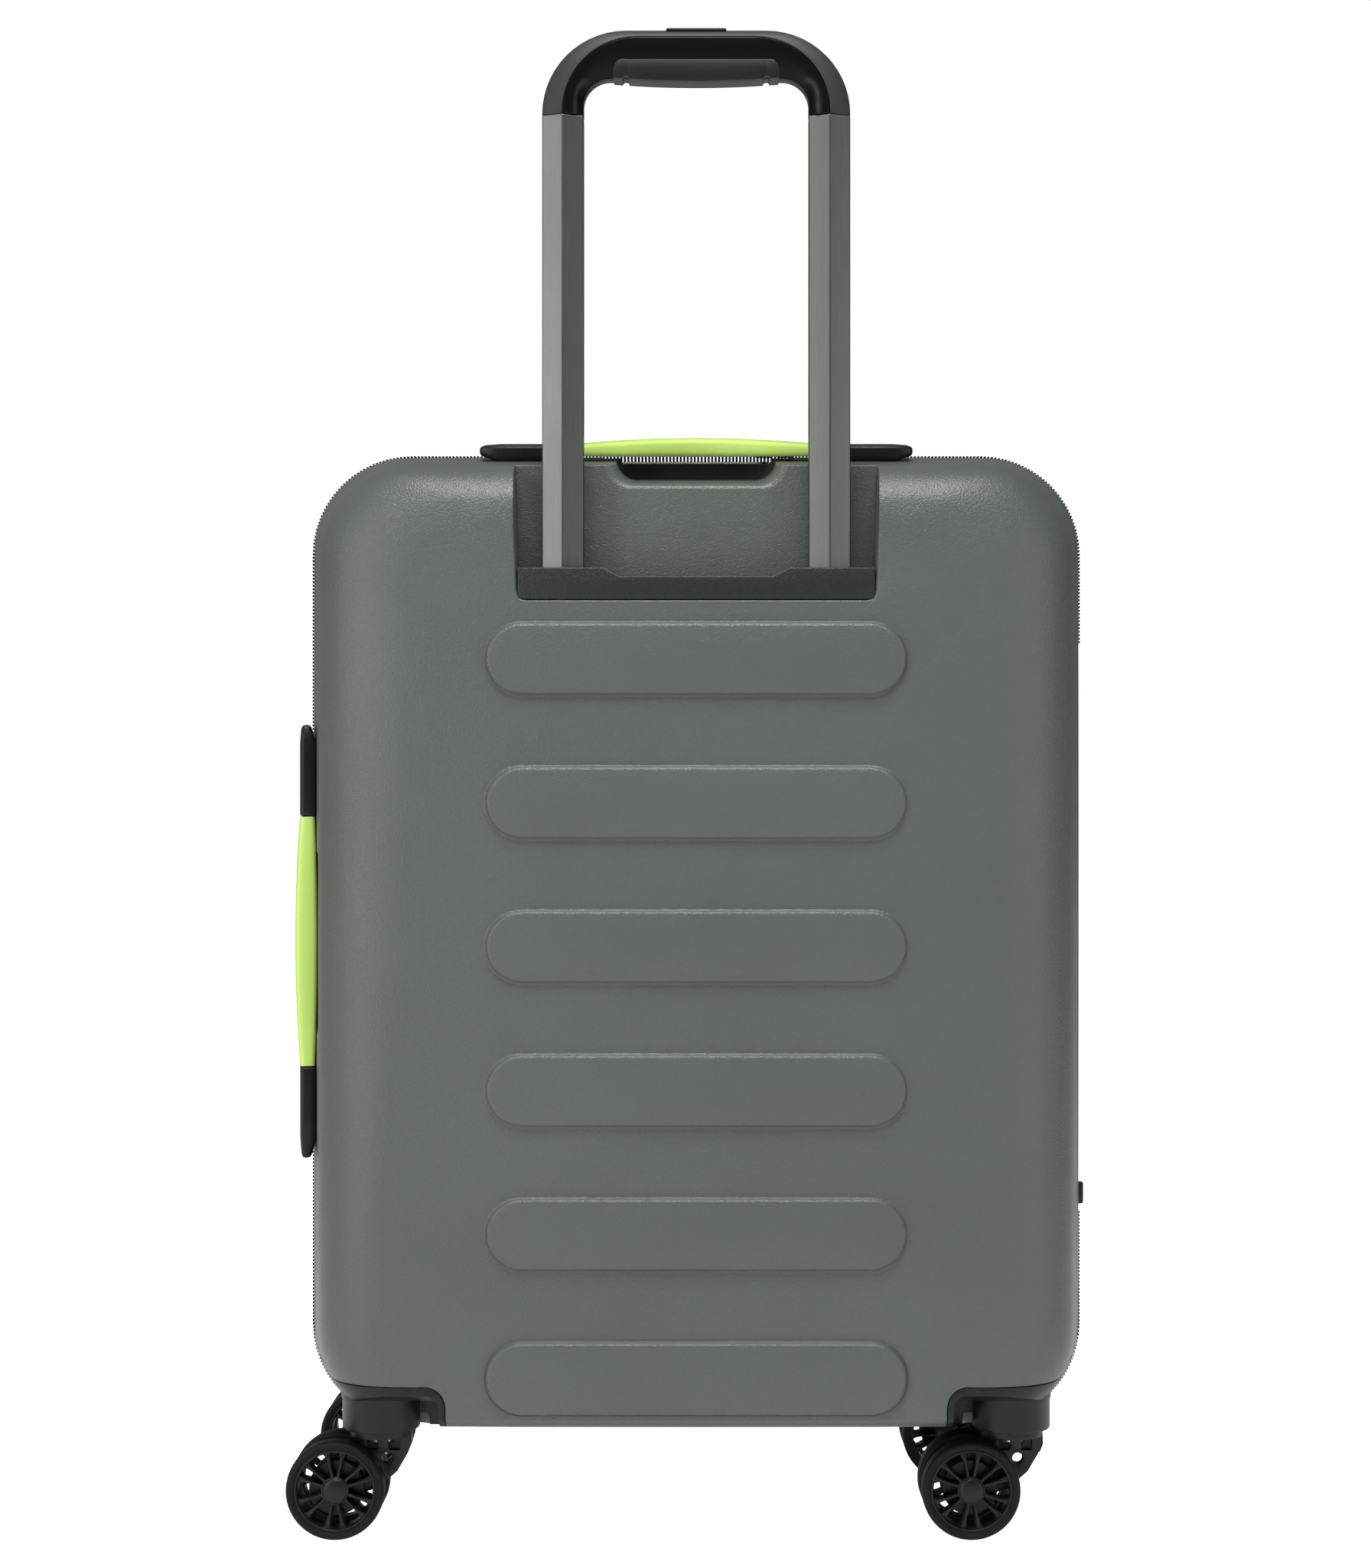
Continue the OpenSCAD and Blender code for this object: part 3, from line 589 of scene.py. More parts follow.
def lathe(name: str, profile: Sequence[tuple[float, float]], steps: int = 72) -> bpy.types.Object:
    """A turned shape about the Y axis, from a profile of (radius, y) in millimetres."""
    piece = chain(name, [(r, y, 0) for r, y in profile])
    with editing(piece):
        pick_all()
        bpy.ops.mesh.spin(steps=steps, angle=2 * math.pi, center=(0, 0, 0), axis=(0, 1, 0))
    return tidy(piece)


def placed(piece: bpy.types.Object, name: str, x: float, y: float, z: float, flip_y: bool = False,
           turn_y: float = 0.0) -> bpy.types.Object:
    """A copy moved by millimetres, turned about Y and, if wanted, reflected across Y first."""
    made = mirrored(piece, 1, name) if flip_y else copy_of(piece, name)
    made.matrix_world = Matrix.Translation(Vector((x, y, z)) * MM) @ Matrix.Rotation(turn_y, 4, "Y")
    return settle(made)


def from_node(node: str, name: str) -> bpy.types.Object:
    """A merged copy of a node's mesh, with its flat faces whole, as a start for a refined piece."""
    piece = bpy.data.objects.new(name, frame["nodes"][node].data.copy())
    bpy.context.scene.collection.objects.link(piece)
    piece.data.name = name
    piece.data.materials.clear()
    with editing(piece):
        pick_all()
        bpy.ops.mesh.remove_doubles(threshold=0.00002)
        bpy.ops.mesh.dissolve_limited(angle_limit=math.radians(1.0))
    return piece


def soften(piece: bpy.types.Object, width: float, segments: int = 2, angle: float = 30.0) -> bpy.types.Object:
    """Rounds the edges that are sharper than an angle, by a width in millimetres."""
    return modifier(piece, "BEVEL", width=width * MM, segments=segments, limit_method="ANGLE",
                    angle_limit=math.radians(angle), use_clamp_overlap=True)


def finish_piece(piece: bpy.types.Object, material: bpy.types.Material, body: str,
                 stands_for: Sequence[str] = ()) -> bpy.types.Object:
    """Gives a piece its finish, its body and the node that it stands for.

    Args:
        piece: the finished mesh.
        material: its finish, unless it has one already.
        body: the moving body that it rides on.
        stands_for: the nodes that it replaces.

    Returns:
        The piece.
    """
    if not [m for m in piece.data.materials if m]:
        piece.data.materials.clear()
        piece.data.materials.append(material)
    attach(piece, body)
    if stands_for:
        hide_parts(*stands_for)
    LOG.info("%s: %d faces, rides on %s", piece.name, len(piece.data.polygons), body)
    return piece


# ---------------------------------------------------------------- the shells


@dataclass
class CaseSizes:
    """The sizes that the shells share, in millimetres."""

    width: float = 393.0
    low: float = 42.1
    high: float = 537.1
    half_depth: float = 97.5
    wall: float = 2.5
    corner: float = 50.0
    gap: float = 5.0
    swivel_x: float = 155.0
    swivel_y: float = 62.0
    middle: float = 289.6
    patch_x: float = 120.5
    patch_z: float = 78.2
    recess_x: float = 86.0
    recess_z: float = 456.1
    recess_y: float = -71.0
    # share of the depth, then the insets: sides at the top, sides at the bottom, top, bottom
    rows: tuple[tuple[float, float, float, float, float], ...] = (
        (0.20, 3.2, 3.2, 3.5, 3.5), (0.41, 6.6, 6.6, 7.2, 7.2), (0.60, 9.6, 9.6, 10.5, 10.1),
        (0.74, 12.2, 11.8, 13, 12.2), (0.84, 16.5, 15.5, 16.5, 13.8), (0.913, 25, 22, 21, 15.4),
        (0.96, 37, 29, 27, 17.6), (0.985, 47, 34.5, 33, 20), (1.00, 60, 42, 42, 24))

    def side_x(self, depth: float) -> float:
        """Half width of the shell at a depth from the parting plane, on its drafted part."""
        return self.width / 2 - depth * 6.6 / 40

    def top_z(self, depth: float) -> float:
        """Height of the shell's top at a depth from the parting plane."""
        return self.high - depth * 7.2 / 40


@dataclass
class ShellHalf:
    """One moulded half shell, built about the back half's place and reflected for the front."""

    sizes: CaseSizes
    half: Half
    rib_w: float = 201.0
    rib_h: float = 33.6
    rib_pitch: float = 69.0
    rib_low: float = 82.7
    rib_count: int = 6
    rib_profile: tuple[tuple[float, float], ...] = ((0.45, 0.15), (0.45, 0.75), (0.45, 1.0), (0.6, 0.45), (0.8, 0.15))

    def pillow(self, name: str) -> bpy.types.Object:
        """The closed outer shape of the back half, from the rim to its flat face."""
        c = self.sizes
        middle = (c.low + c.high) / 2
        piece = outline(name, c.width / 2, c.low, c.high, c.corner, -c.gap)
        with editing(piece, "FACE"):
            pick_all()
            extrude(y=-1)
            low, high, y = c.low, c.high, -c.gap - 1
            for share, side_top, side_low, top, bottom in c.rows:
                new_y = -max(share * c.half_depth, c.gap + 1.5)
                extrude(y=new_y - y)
                new_low, new_high = c.low + bottom, c.high - top
                pick(piece, lambda p, at=new_y: abs(p.y - at * MM) < 0.0001)
                grow = (new_high - new_low) / (high - low)
                stretch(1, 1, grow, (0, new_y, low))
                shift(z=new_low - low)
                for is_top, inset in ((True, side_top), (False, side_low)):
                    pick(piece, lambda p, at=new_y, up=is_top: abs(p.y - at * MM) < 0.0001
                         and (p.z > middle * MM) == up)
                    stretch((c.width / 2 - inset) / self._half_width(piece), 1, 1, (0, new_y, middle))
                pick(piece, lambda p, at=new_y: abs(p.y - at * MM) < 0.0001, "faces")
                low, high, y = new_low, new_high, new_y
        with editing(piece, "EDGE"):
            flat_w = c.width / 2 - c.rows[-1][1]
            pick(piece, lambda p: p.y < (0.1 - c.half_depth) * MM and abs(p.x) > (flat_w - 1) * MM, "edges")
            bpy.ops.transform.edge_crease(value=0.75)
        return piece

    @staticmethod
    def _half_width(piece: bpy.types.Object) -> float:
        """Half width of what is selected in the open mesh, in millimetres."""
        mesh = bmesh.from_edit_mesh(piece.data)
        return max(abs(v.co.x) for v in mesh.verts if v.select) / MM

    def rib(self, name: str, z: float) -> bpy.types.Object:
        """One raised rib with soft edges, standing on the flat face."""
        c = self.sizes
        face = -c.half_depth + 0.1
        half_w, half_h = self.rib_w / 2 + 1.2, self.rib_h / 2 + 1.2
        piece = outline(name, half_w, z - half_h, z + half_h, half_h - 0.3, face, 20)
        with editing(piece, "FACE"):
            pick_all()
            for thickness, depth in self.rib_profile:
                extrude(y=-depth)
                stretch((half_w - thickness) / half_w, 1, (half_h - thickness) / half_h, (0, 0, z))
                half_w, half_h = half_w - thickness, half_h - thickness
        return piece

    def build(self, look: Finishes) -> bpy.types.Object:
        """Models this half shell, gives it its finish and puts it on its body."""
        c = self.sizes
        node = "back_shell" if self.half is Half.BACK else "front_shell"
        shell = self.pillow(node + "_moulding")
        modifier(shell, "SUBSURF", levels=1, render_levels=1)
        if self.half is Half.BACK:
            for cutter in self.hollows():
                cut(shell, cutter)
        with editing(shell, "FACE"):
            pick(shell, lambda p: p.y > -(c.gap + 0.45) * MM, "faces")
            bpy.ops.mesh.delete(type="FACE")
        modifier(shell, "SOLIDIFY", thickness=c.wall * MM, offset=-1, use_even_offset=False)
        for side in Side:
            cut(shell, self.patch(side, 0.15))
        ribs = [self.rib(f"rib_{i}", self.rib_low + i * self.rib_pitch) for i in range(self.rib_count)]
        smooth(shell, 30)
        for rib in ribs:
            smooth(rib, 60)
        shell = join(node + "_moulding", [shell, *ribs])
        if self.half is Half.FRONT:
            shell = reflected(shell, 1, "front_shell_moulded")
        return finish_piece(shell, look.shell, self.half.body, [node])

    @staticmethod
    def flare(cutter: bpy.types.Object, mouth: float, roll: float, drop: float, top: float) -> None:
        """Widens an open cutter in a quarter round where it comes out, so that it leaves a rolled edge.

        Args:
            cutter: the solid that is open for editing, whose mouth faces -Y.
            mouth: where the roll begins, in millimetres of Y.
            roll: the roll's radius.
            drop: the share of the roll by which the lower edge drops.
            top: the height that stays as it is.
        """
        bpy.ops.mesh.select_mode(type="FACE")
        pick(cutter, lambda p: abs(p.y - mouth * MM) < 1e-5, "faces")
        mesh = bmesh.from_edit_mesh(cutter.data)
        chosen = [v.co for v in mesh.verts if v.select]
        half_w, low = max(abs(v.x) for v in chosen) / MM, min(v.z for v in chosen) / MM
        wide, deep, at = half_w, top - low, mouth
        for i in range(1, 6):
            turn = math.pi / 2 * i / 5
            out, grow = roll * math.sin(turn), roll * (1 - math.cos(turn))
            extrude(y=mouth - out - at)
            stretch((half_w + grow) / wide, 1, (top - low + grow * drop) / deep, (0, mouth - out, top))
            wide, deep, at = half_w + grow, top - low + grow * drop, mouth - out
        extrude(y=-14)

    def hollows(self) -> list[bpy.types.Object]:
        """The recess for the pull handle, the finger bowl and the side scoop, as solids to cut away."""
        c = self.sizes
        recess = block("recess", (-c.recess_x, -94.6, c.recess_z), (c.recess_x, c.recess_y, c.high + 20))
        bevel_edges(recess, lambda p: p.z < (c.recess_z + 1) * MM and abs(p.x) > (c.recess_x - 1) * MM, 5, 5)
        with editing(recess):
            pick(recess, lambda p: p.z > (c.high + 19) * MM)
            stretch(1.045, 1, 1, (0, 0, c.high + 20))
            self.flare(recess, -94.6, 3.0, 0.4, c.high + 20)
        bowl = block("bowl", (-49, -65, 515.5), (49, -9.6, c.high + 20))
        with editing(bowl, "VERT"):
            pick(bowl, lambda p: p.y > -10 * MM and p.z < 516 * MM)
            shift(z=10)
            pick(bowl, lambda p: p.z < 530 * MM)
            stretch(0.75, 1, 1, (0, 0, 515.5))
        bevel_edges(bowl, lambda p: p.y > -60 * MM, 7, 5)
        with editing(bowl):
            self.flare(bowl, -65, 6.0, 0.5, c.high + 20)
        depth = 11.0
        scoop = block("scoop", (-210, -62, c.middle - 45), (-c.side_x(40) + depth, -9.6, c.middle + 45))
        bevel_edges(scoop, lambda p: p.x > -200 * MM, 8, 5)
        notch = block("rim_notch", (-47, -12, 532.6), (47, -c.gap + 1, c.high + 20))
        bevel_edges(notch, lambda p: p.z < 533 * MM and abs(p.x) > 46 * MM, 3, 4)
        return [recess, bowl, notch, scoop]

    def patch(self, side: Side, grow: float) -> bpy.types.Object:
        """The solid that a wheel housing fills, to cut out of the shell."""
        c = self.sizes
        edge = side.value
        x0, x1 = sorted((edge * (c.patch_x - grow), edge * 220))
        piece = block("patch", (x0, -110, 20), (x1, -14 + grow, c.patch_z + grow))
        bevel_edges(piece, lambda p: abs(p.x) < (c.patch_x + 1) * MM and p.z > (c.patch_z - 1) * MM, (10 + grow), 8)
        return piece


# ---------------------------------------------------------------- casters


@dataclass
class WheelHousing:
    """The black corner that closes the shell round a caster, with the swivel cup standing under it."""

    sizes: CaseSizes
    half: Half
    side: Side
    cup_r: float = 19.0
    cup_low: float = 52.0
    arch_r: float = 24.0

    def build(self, look: Finishes) -> bpy.types.Object:
        """Models the housing flush with the shell's own surface."""
        c = self.sizes
        s = self.side.value
        corner = ("rear" if self.half is Half.BACK else "front") + "_" + self.side.name.lower()
        shell = ShellHalf(c, Half.BACK)
        skin = shell.pillow(corner + "_corner")
        modifier(skin, "SUBSURF", levels=1, render_levels=1)
        cut(skin, shell.patch(self.side, -0.35), "INTERSECT")
        x, y = s * c.swivel_x, -c.swivel_y
        cut(skin, rod("arch", self.arch_r, (x, y, 20), 59.0 - 20, "Z", 64))
        x0, x1 = sorted((s * (c.patch_x + 3.2), s * 240))
        wedge = block("wedge", (x0, -112, 0), (x1, -62, 77.6))
        subdivide_edges(wedge, lambda p: -0.1119 < p.y < -0.0621, 4)
        with editing(wedge):
            for y, drop in ((-102, 1.6), (-92, 5.4), (-82, 8.6), (-72, 10.6), (-62, 12.2)):
                pick(wedge, lambda p, at=y: p.z > 70 * MM and abs(p.y - at * MM) < 1e-5)
                shift(z=-drop)
        bevel_edges(wedge, lambda p: abs(p.x) < (c.patch_x + 4) * MM and p.z > 60 * MM, 6, 5)
        cut(skin, wedge)
        smooth(soften(skin, 0.45, 2, 40), 35)
        r, top = self.cup_r, 78.5 - self.cup_low
        cup = lathe("cup", [(0, 3.2), (r - 1.9, 3.2), (r - 1.9, 0), (r - 1.2, 0), (r - 0.4, 0.3), (r, 1.1),
                            (r, top - 12.0), (r + 0.5, top - 11.2), (r + 0.5, top), (0, top)], 96)
        cup.matrix_world = Matrix.Translation(Vector((x, y, self.cup_low)) * MM) @ Matrix.Rotation(math.pi / 2, 4, "X")
        settle(cup)
        smooth(tidy(cup), 35)
        piece = join(corner + "_corner", [skin, cup])
        if self.half is Half.FRONT:
            piece = reflected(piece, 1, corner + "_corner_moulded")
        return finish_piece(piece, look.black, self.half.body, [corner + "_housing"])


@dataclass
class Casters:
    """The four casters: twin wheels with spoked hubs on a trailing fork."""

    sizes: CaseSizes
    wheel_r: float = 24.0
    wheel_t: float = 11.4
    trail: float = 21.0
    spokes: int = 12
    splay: float = 12.0

    def tyre(self) -> bpy.types.Object:
        """The tread, outer side at -Y, centred on its axle, with a raised line round each side."""
        r, t = self.wheel_r, self.wheel_t
        side = [(r - 4.0, -0.9), (r - 3.6, -0.6), (r - 3.0, -0.6), (r - 2.7, 0.0), (r - 1.5, 0.0), (r - 0.6, -0.5),
                (r - 0.1, -1.5), (r, -2.8)]
        profile = side + [(radius, -t - y) for radius, y in reversed(side)]
        return lathe("tyre", profile + profile[:1], 80)

    def hub(self) -> bpy.types.Object:
        """The spoked hub with its rim and domed cap."""
        r, t = self.wheel_r - 4.03, self.wheel_t
        rim = [(r, -0.8), (r, -t + 0.9), (r - 0.4, -t + 0.6), (r - 1.0, -t + 0.7), (r - 1.5, -t + 1.6),
               (r - 1.6, -t + 3), (r - 1.8, -1.4), (r - 1.4, -0.8)]
        boss = [(0, -t - 0.1), (2.4, -t), (4.4, -t + 0.3), (5.6, -t + 0.75), (6.0, -t + 1.2), (6.1, -t + 1.5),
                (6.5, -t + 1.5), (6.8, -t + 1.9), (6.8, -t + 2.6), (6.4, -t + 3.4), (6.2, -2.0), (5.4, -1.0), (0, -0.8)]
        back = [(5.0, -1.2), (13.2, -1.2), (13.6, -1.6), (13.2, -2.0), (5.0, -2.0)]
        pieces = [lathe("rim", rim + rim[:1], 80), lathe("boss", boss, 48), lathe("back", back + back[:1], 48)]
        reach = r - 1.2
        spoke = block("spoke", (5.6, -t + 1.9, -0.75), (reach, -2.6, 0.75))
        subdivide_edges(spoke, lambda p: abs(p.x - (5.6 + reach) / 2 * MM) < 1e-5, 4)
        with editing(spoke):
            for share, wide, sink in ((0.0, 1.9, 0.5), (0.2, 1.25, 0.2), (0.4, 1.1, 0.0), (0.6, 1.3, 0.0),
                                      (0.8, 1.9, 0.1), (1.0, 3.6, 0.5)):
                x = 5.6 + (reach - 5.6) * share
                pick(spoke, lambda p, at=x: abs(p.x - at * MM) < 1e-4)
                stretch(1, 1, wide, (x, 0, 0))
                pick(spoke, lambda p, at=x: abs(p.x - at * MM) < 1e-4 and p.y < (-t + 4) * MM)
                shift(y=sink)
                stretch(1, 1, 0.62, (x, 0, 0))
        soften(spoke, 0.28, 2, 30)
        for i in range(self.spokes // 2):
            for lean in (-self.splay, self.splay):
                turn = math.radians(i * 720 / self.spokes + lean + 90)
                pieces.append(placed(spoke, "spoke_copy", 0, 0, 0, turn_y=turn))
        discard(spoke)
        return join("hub", pieces)

    def fork(self, corner: str, x: float, y: float, look: Finishes) -> None:
        """Refines one fork: pockets between its ribs, and softened edges."""
        piece = from_node(corner + "_fork", corner + "_fork_moulded")
        for x0, x1 in ((-6.6, -1.2), (4.2, 9.6)):
            for side in (-1, 1):
                y0, y1 = sorted((side * 2.4, side * 9))
                cut(piece, block("pocket", (x + x0, y + y0, 41.6), (x + x1, y + y1, 47.6)))
        for side in (-1, 1):
            y0, y1 = sorted((side * 2.2, side * 9))
            cut(piece, block("thinning", (x - 6.6, y + y0, 26), (x + 24, y + y1, 40.6)))
        smooth(soften(piece, 0.45, 2, 32), 38)
        finish_piece(piece, look.black, corner + "_swivel", [corner + "_fork"])

    def build(self, look: Finishes) -> None:
        """Models one tyre and one hub, and sets eight of each in place."""
        c = self.sizes
        tyre, hub = smooth(self.tyre(), 28), smooth(self.hub(), 32)
        for half in Half:
            for side in Side:
                corner = ("rear" if half is Half.BACK else "front") + "_" + side.name.lower()
                x, y = side.value * c.swivel_x, half.value * c.swivel_y
                for name, outward in (("outer", half.value), ("inner", -half.value)):
                    at = (x - self.trail, y + outward * 5.8, self.wheel_r)
                    body = f"{corner}_{name}_wheel"
                    tread = placed(tyre, f"{corner}_{name}_tread", *at, flip_y=outward > 0)
                    finish_piece(tread, look.tyre, body, [f"{corner}_{name}_tyre"])
                    phase = math.radians(16 if name == "inner" else 0)
                    spoked = placed(hub, f"{corner}_{name}_spoked_hub", *at, flip_y=outward > 0, turn_y=phase)
                    finish_piece(spoked, look.black, body, [f"{corner}_{name}_hub"])
                self.fork(corner, x, y, look)
        for spare in (tyre, hub):
            discard(spare)


# ---------------------------------------------------------------- carry handles


@dataclass
class CarryHandle:
    """A soft grip between two hard ends; the top one is built in place, the side one is turned onto the wall."""

    sizes: CaseSizes
    node: str
    length: float = 218.0
    grip_length: float = 125.0
    width: float = 26.0
    thick: float = 7.8

    def frame_of(self) -> tuple[Vector, Vector, Vector, Vector]:
        """The handle's middle and its three directions: along, across and outwards."""
        c = self.sizes
        tilt_top, tilt_side = math.atan(7.2 / 40), math.atan(6.6 / 40)
        if self.node == "top_handle":
            origin = Vector((0, -22, c.top_z(22)))
            return origin, Vector((1, 0, 0)), Vector((0, math.cos(tilt_top), math.sin(tilt_top))), \
                Vector((0, -math.sin(tilt_top), math.cos(tilt_top)))
        origin = Vector((-c.side_x(22), -22, c.middle))
        return origin, Vector((0, 0, 1)), Vector((math.sin(tilt_side), -math.cos(tilt_side), 0)) * -1, \
            Vector((-math.cos(tilt_side), -math.sin(tilt_side), 0))

    def place(self, piece: bpy.types.Object) -> bpy.types.Object:
        """Moves a piece built about the origin, along X and up Z, onto the shell."""
        origin, along, across, out = self.frame_of()
        turn = Matrix((along, across, out)).transposed().to_4x4()
        piece.matrix_world = Matrix.Translation(origin * MM) @ turn
        settle(piece)
        outwards(piece)
        return piece

    def grip(self, look: Finishes) -> bpy.types.Object:
        """The crowned soft grip."""
        half = self.grip_length / 2
        under, belly, crown = (2.4, -0.2, 3.0) if self.node == "top_handle" else (0.7, -1.2, 2.4)
        piece = block(self.node + "_soft_grip", (-half, -self.width / 2, under), (half, self.width / 2, self.thick))
        subdivide_edges(piece, lambda p: abs(p.x) < 0.001, 23)
        with editing(piece):
            for i in range(25):
                x = -half + i * 2 * half / 24
                t = x / half
                pick(piece, lambda p, at=x: abs(p.x - at * MM) < 0.001 and p.z > 0.005)
                shift(z=crown * (1 - t * t))
                pick(piece, lambda p, at=x: abs(p.x - at * MM) < 0.001 and p.z < 0.005)
                shift(z=belly * (1 - t * t))
        bevel_edges(piece, lambda p: abs(abs(p.y) - self.width / 2 * MM) < 0.0005 and abs(p.x) < (half - 0.1) * MM
                 and (p.z > 0.006 or p.z < 0.0035), 2.2, 4)
        tidy(piece)
        smooth(piece, 50)
        self.place(piece)
        return finish_piece(piece, look.lime, self.node, [self.node + "_grip"])

    def ends(self, look: Finishes) -> bpy.types.Object:
        """The two hard ends, tapered to the shell."""
        made = []
        for sign in (-1, 1):
            x0, x1 = self.grip_length / 2 + 0.3, self.length / 2
            piece = block("end", (x0, -self.width / 2, 0.1), (x1, self.width / 2, self.thick))
            subdivide_edges(piece, lambda p: abs(p.x - (x0 + x1) / 2 * MM) < 1e-5, 3)
            with editing(piece):
                pick(piece, lambda p: (x0 + 1) * MM < p.x < (x1 - 1) * MM and p.x > (x0 + x1) / 2 * MM + 0.001)
                shift(x=x1 - 9 - (x0 + (x1 - x0) * 0.75))
                pick(piece, lambda p: p.x > (x1 - 1) * MM and p.z < 5 * MM)
                shift(z=3.2)
                pick(piece, lambda p: p.x > (x1 - 1) * MM)
                shift(z=-0.6)
                stretch(1, 0.8, 1, (x1, 0, 0))
            soften(piece, 1.7, 4, 40)
            if sign < 0:
                piece = reflected(piece, 0, "end_turned")
            made.append(smooth(piece, 40))
        piece = self.place(join(self.node + "_hard_ends", made))
        return finish_piece(piece, look.black, "back_half", [self.node + "_ends"])

    def build(self, look: Finishes) -> None:
        """Models the whole handle."""
        self.grip(look)
        self.ends(look)


# ---------------------------------------------------------------- pull handle


@dataclass
class PullGrip:
    """The grip at the top of the pull handle: an arch with a ridge along its front."""

    half_w: float = 74.5
    ridge_w: float = 64.5
    inner_w: float = 54.5
    low: float = 690.9
    high: float = 731.9
    ridge_high: float = 727.8
    inner_high: float = 709.1
    shoulder: float = -87.0
    ridge: float = -90.9
    back: float = -76.6

    def arch(self, piece: bpy.types.Object, half_w: float, high: float, radius: float, y: float) -> None:
        """Adds one arch-shaped chain of edges to the open mesh."""
        bpy.ops.mesh.select_all(action="DESELECT")
        middle = (0, y * MM, (self.low + high) / 2 * MM)
        bpy.ops.mesh.primitive_plane_add(size=1, location=middle, rotation=(math.pi / 2, 0, 0))
        stretch(2 * half_w * MM, 1, (high - self.low) * MM, (0, y, (self.low + high) / 2))
        bpy.ops.mesh.delete(type="ONLY_FACE")
        pick(piece, lambda p: abs(p.z - high * MM) < 1e-5 and abs(p.y - y * MM) < 1e-5
             and abs(abs(p.x) - half_w * MM) < 1e-5)
        bpy.ops.mesh.bevel(offset=radius * MM, segments=14, affect="VERTICES", clamp_overlap=False)
        bpy.ops.mesh.select_mode(type="EDGE")
        pick(piece, lambda p: abs(p.z - self.low * MM) < 1e-5 and abs(p.x) < 1e-5 and abs(p.y - y * MM) < 1e-5, "edges")
        bpy.ops.mesh.delete(type="EDGE")
        bpy.ops.mesh.select_mode(type="VERT")

    def ribbon(self, first: Sequence[float], second: Sequence[float]) -> bpy.types.Object:
        """One strip of faces between two arches."""
        piece = bpy.data.objects.new("ribbon", bpy.data.meshes.new("ribbon"))
        bpy.context.scene.collection.objects.link(piece)
        with editing(piece):
            for half_w, high, radius, y in (first, second):
                self.arch(piece, half_w, high, radius, y)
            bpy.ops.mesh.select_mode(type="EDGE")
            pick_all()
            bpy.ops.mesh.bridge_edge_loops()
        return piece

    def strip(self, name: str, chains: Sequence[tuple[float, float, float, float]]) -> bpy.types.Object:
        """A closed arch-shaped bar, from a ring of arches given as half width, height, corner radius and y."""
        piece = join(name, [self.ribbon(first, chains[(i + 1) % len(chains)]) for i, first in enumerate(chains)])
        tidy(piece)
        with editing(piece, "EDGE"):
            for sign in (-1, 1):
                pick(piece, lambda p, s=sign: abs(p.z - self.low * MM) < 1e-5 and p.x * s > 0, "edges")
                bpy.ops.mesh.edge_face_add()
        return tidy(piece)

    def build(self, look: Finishes) -> None:
        """Models the matte outer band, the glossy inner band and the cover under the bar."""
        crest = (self.ridge_w + 0.1, self.ridge_high + 0.1, 36.0)
        outer = self.strip("grip_outer_band", [
            (self.half_w, self.high, 40.4, self.shoulder), (*crest, self.ridge), (*crest, self.back),
            (self.half_w, self.high, 40.4, self.back)])
        smooth(soften(outer, 0.7, 2, 25), 40)
        finish_piece(outer, look.matte, "upper_stage", ["grip_body"])
        inner = self.strip("grip_inner_band", [
            (self.ridge_w, self.ridge_high, 36.0, self.ridge),
            (self.inner_w + 3.4, self.inner_high + 5.5, 15.5, self.shoulder - 2.0),
            (self.inner_w, self.inner_high, 13.0, self.shoulder + 1.6),
            (self.inner_w, self.inner_high, 13.0, self.back), (self.ridge_w, self.ridge_high, 36.0, self.back)])
        smooth(soften(inner, 0.6, 2, 35), 50)
        finish_piece(inner, look.gloss, "upper_stage")
        self._cover(look)
        button = block("release_button", (-14.6, -88.0, self.high - 5), (14.6, -79.0, self.high + 1.1))
        bevel_edges(button, lambda p: p.z > self.high * MM
                    or (abs(p.x) > 14 * MM and abs(p.y + 0.0835) > 4 * MM), 0.9, 3)
        smooth(button, 40)
        finish_piece(button, look.gloss, "release", ["push_button"])

    def _cover(self, look: Finishes) -> None:
        """The screwed-on cover under the bar, bowed a little, with two notches in its lower edge."""
        low = self.inner_high - 0.6
        cover = block("grip_cover", (-40, self.shoulder - 2.4, low), (40, self.back + 0.5, self.inner_high + 8.6))
        subdivide_edges(cover, lambda p: abs(p.x) < 0.001, 11)
        with editing(cover):
            for i in range(13):
                x = -40 + i * 80 / 12
                pick(cover, lambda p, at=x: abs(p.x - at * MM) < 0.001 and p.z < (low + 1) * MM)
                shift(z=-1.6 * (1 - (x / 40) ** 2))
        bevel_edges(cover, lambda p: p.z > (low + 7) * MM and abs(p.x) > 39 * MM and abs(p.y + 0.0825) < 4 * MM, 5, 5)
        for x in (-34, 34):
            cut(cover, rod("notch", 1.6, (x, -100, low - 0.6), 40, "Y", 24))
        smooth(soften(cover, 0.4, 2, 30), 35)
        finish_piece(cover, look.satin, "upper_stage", ["grip_insert"])


@dataclass
class Tubes:
    """The pull handle's tubes, with the rounded ridge and shoulders of a drawn section."""

    bodies: tuple[tuple[str, str], ...] = (("outer", "back_half"), ("middle", "middle_stage"), ("upper", "upper_stage"))

    def build(self, look: Finishes) -> None:
        """Rounds the corners of each stage."""
        for stage, body in self.bodies:
            piece = from_node(stage + "_tubes", stage + "_tubes_drawn")
            smooth(soften(piece, 0.55 if stage == "upper" else 0.35, 3, 12), 60)
            modifier(piece, "WEIGHTED_NORMAL")
            finish_piece(piece, look.tube, body, [stage + "_tubes"])


# ---------------------------------------------------------------- the zip


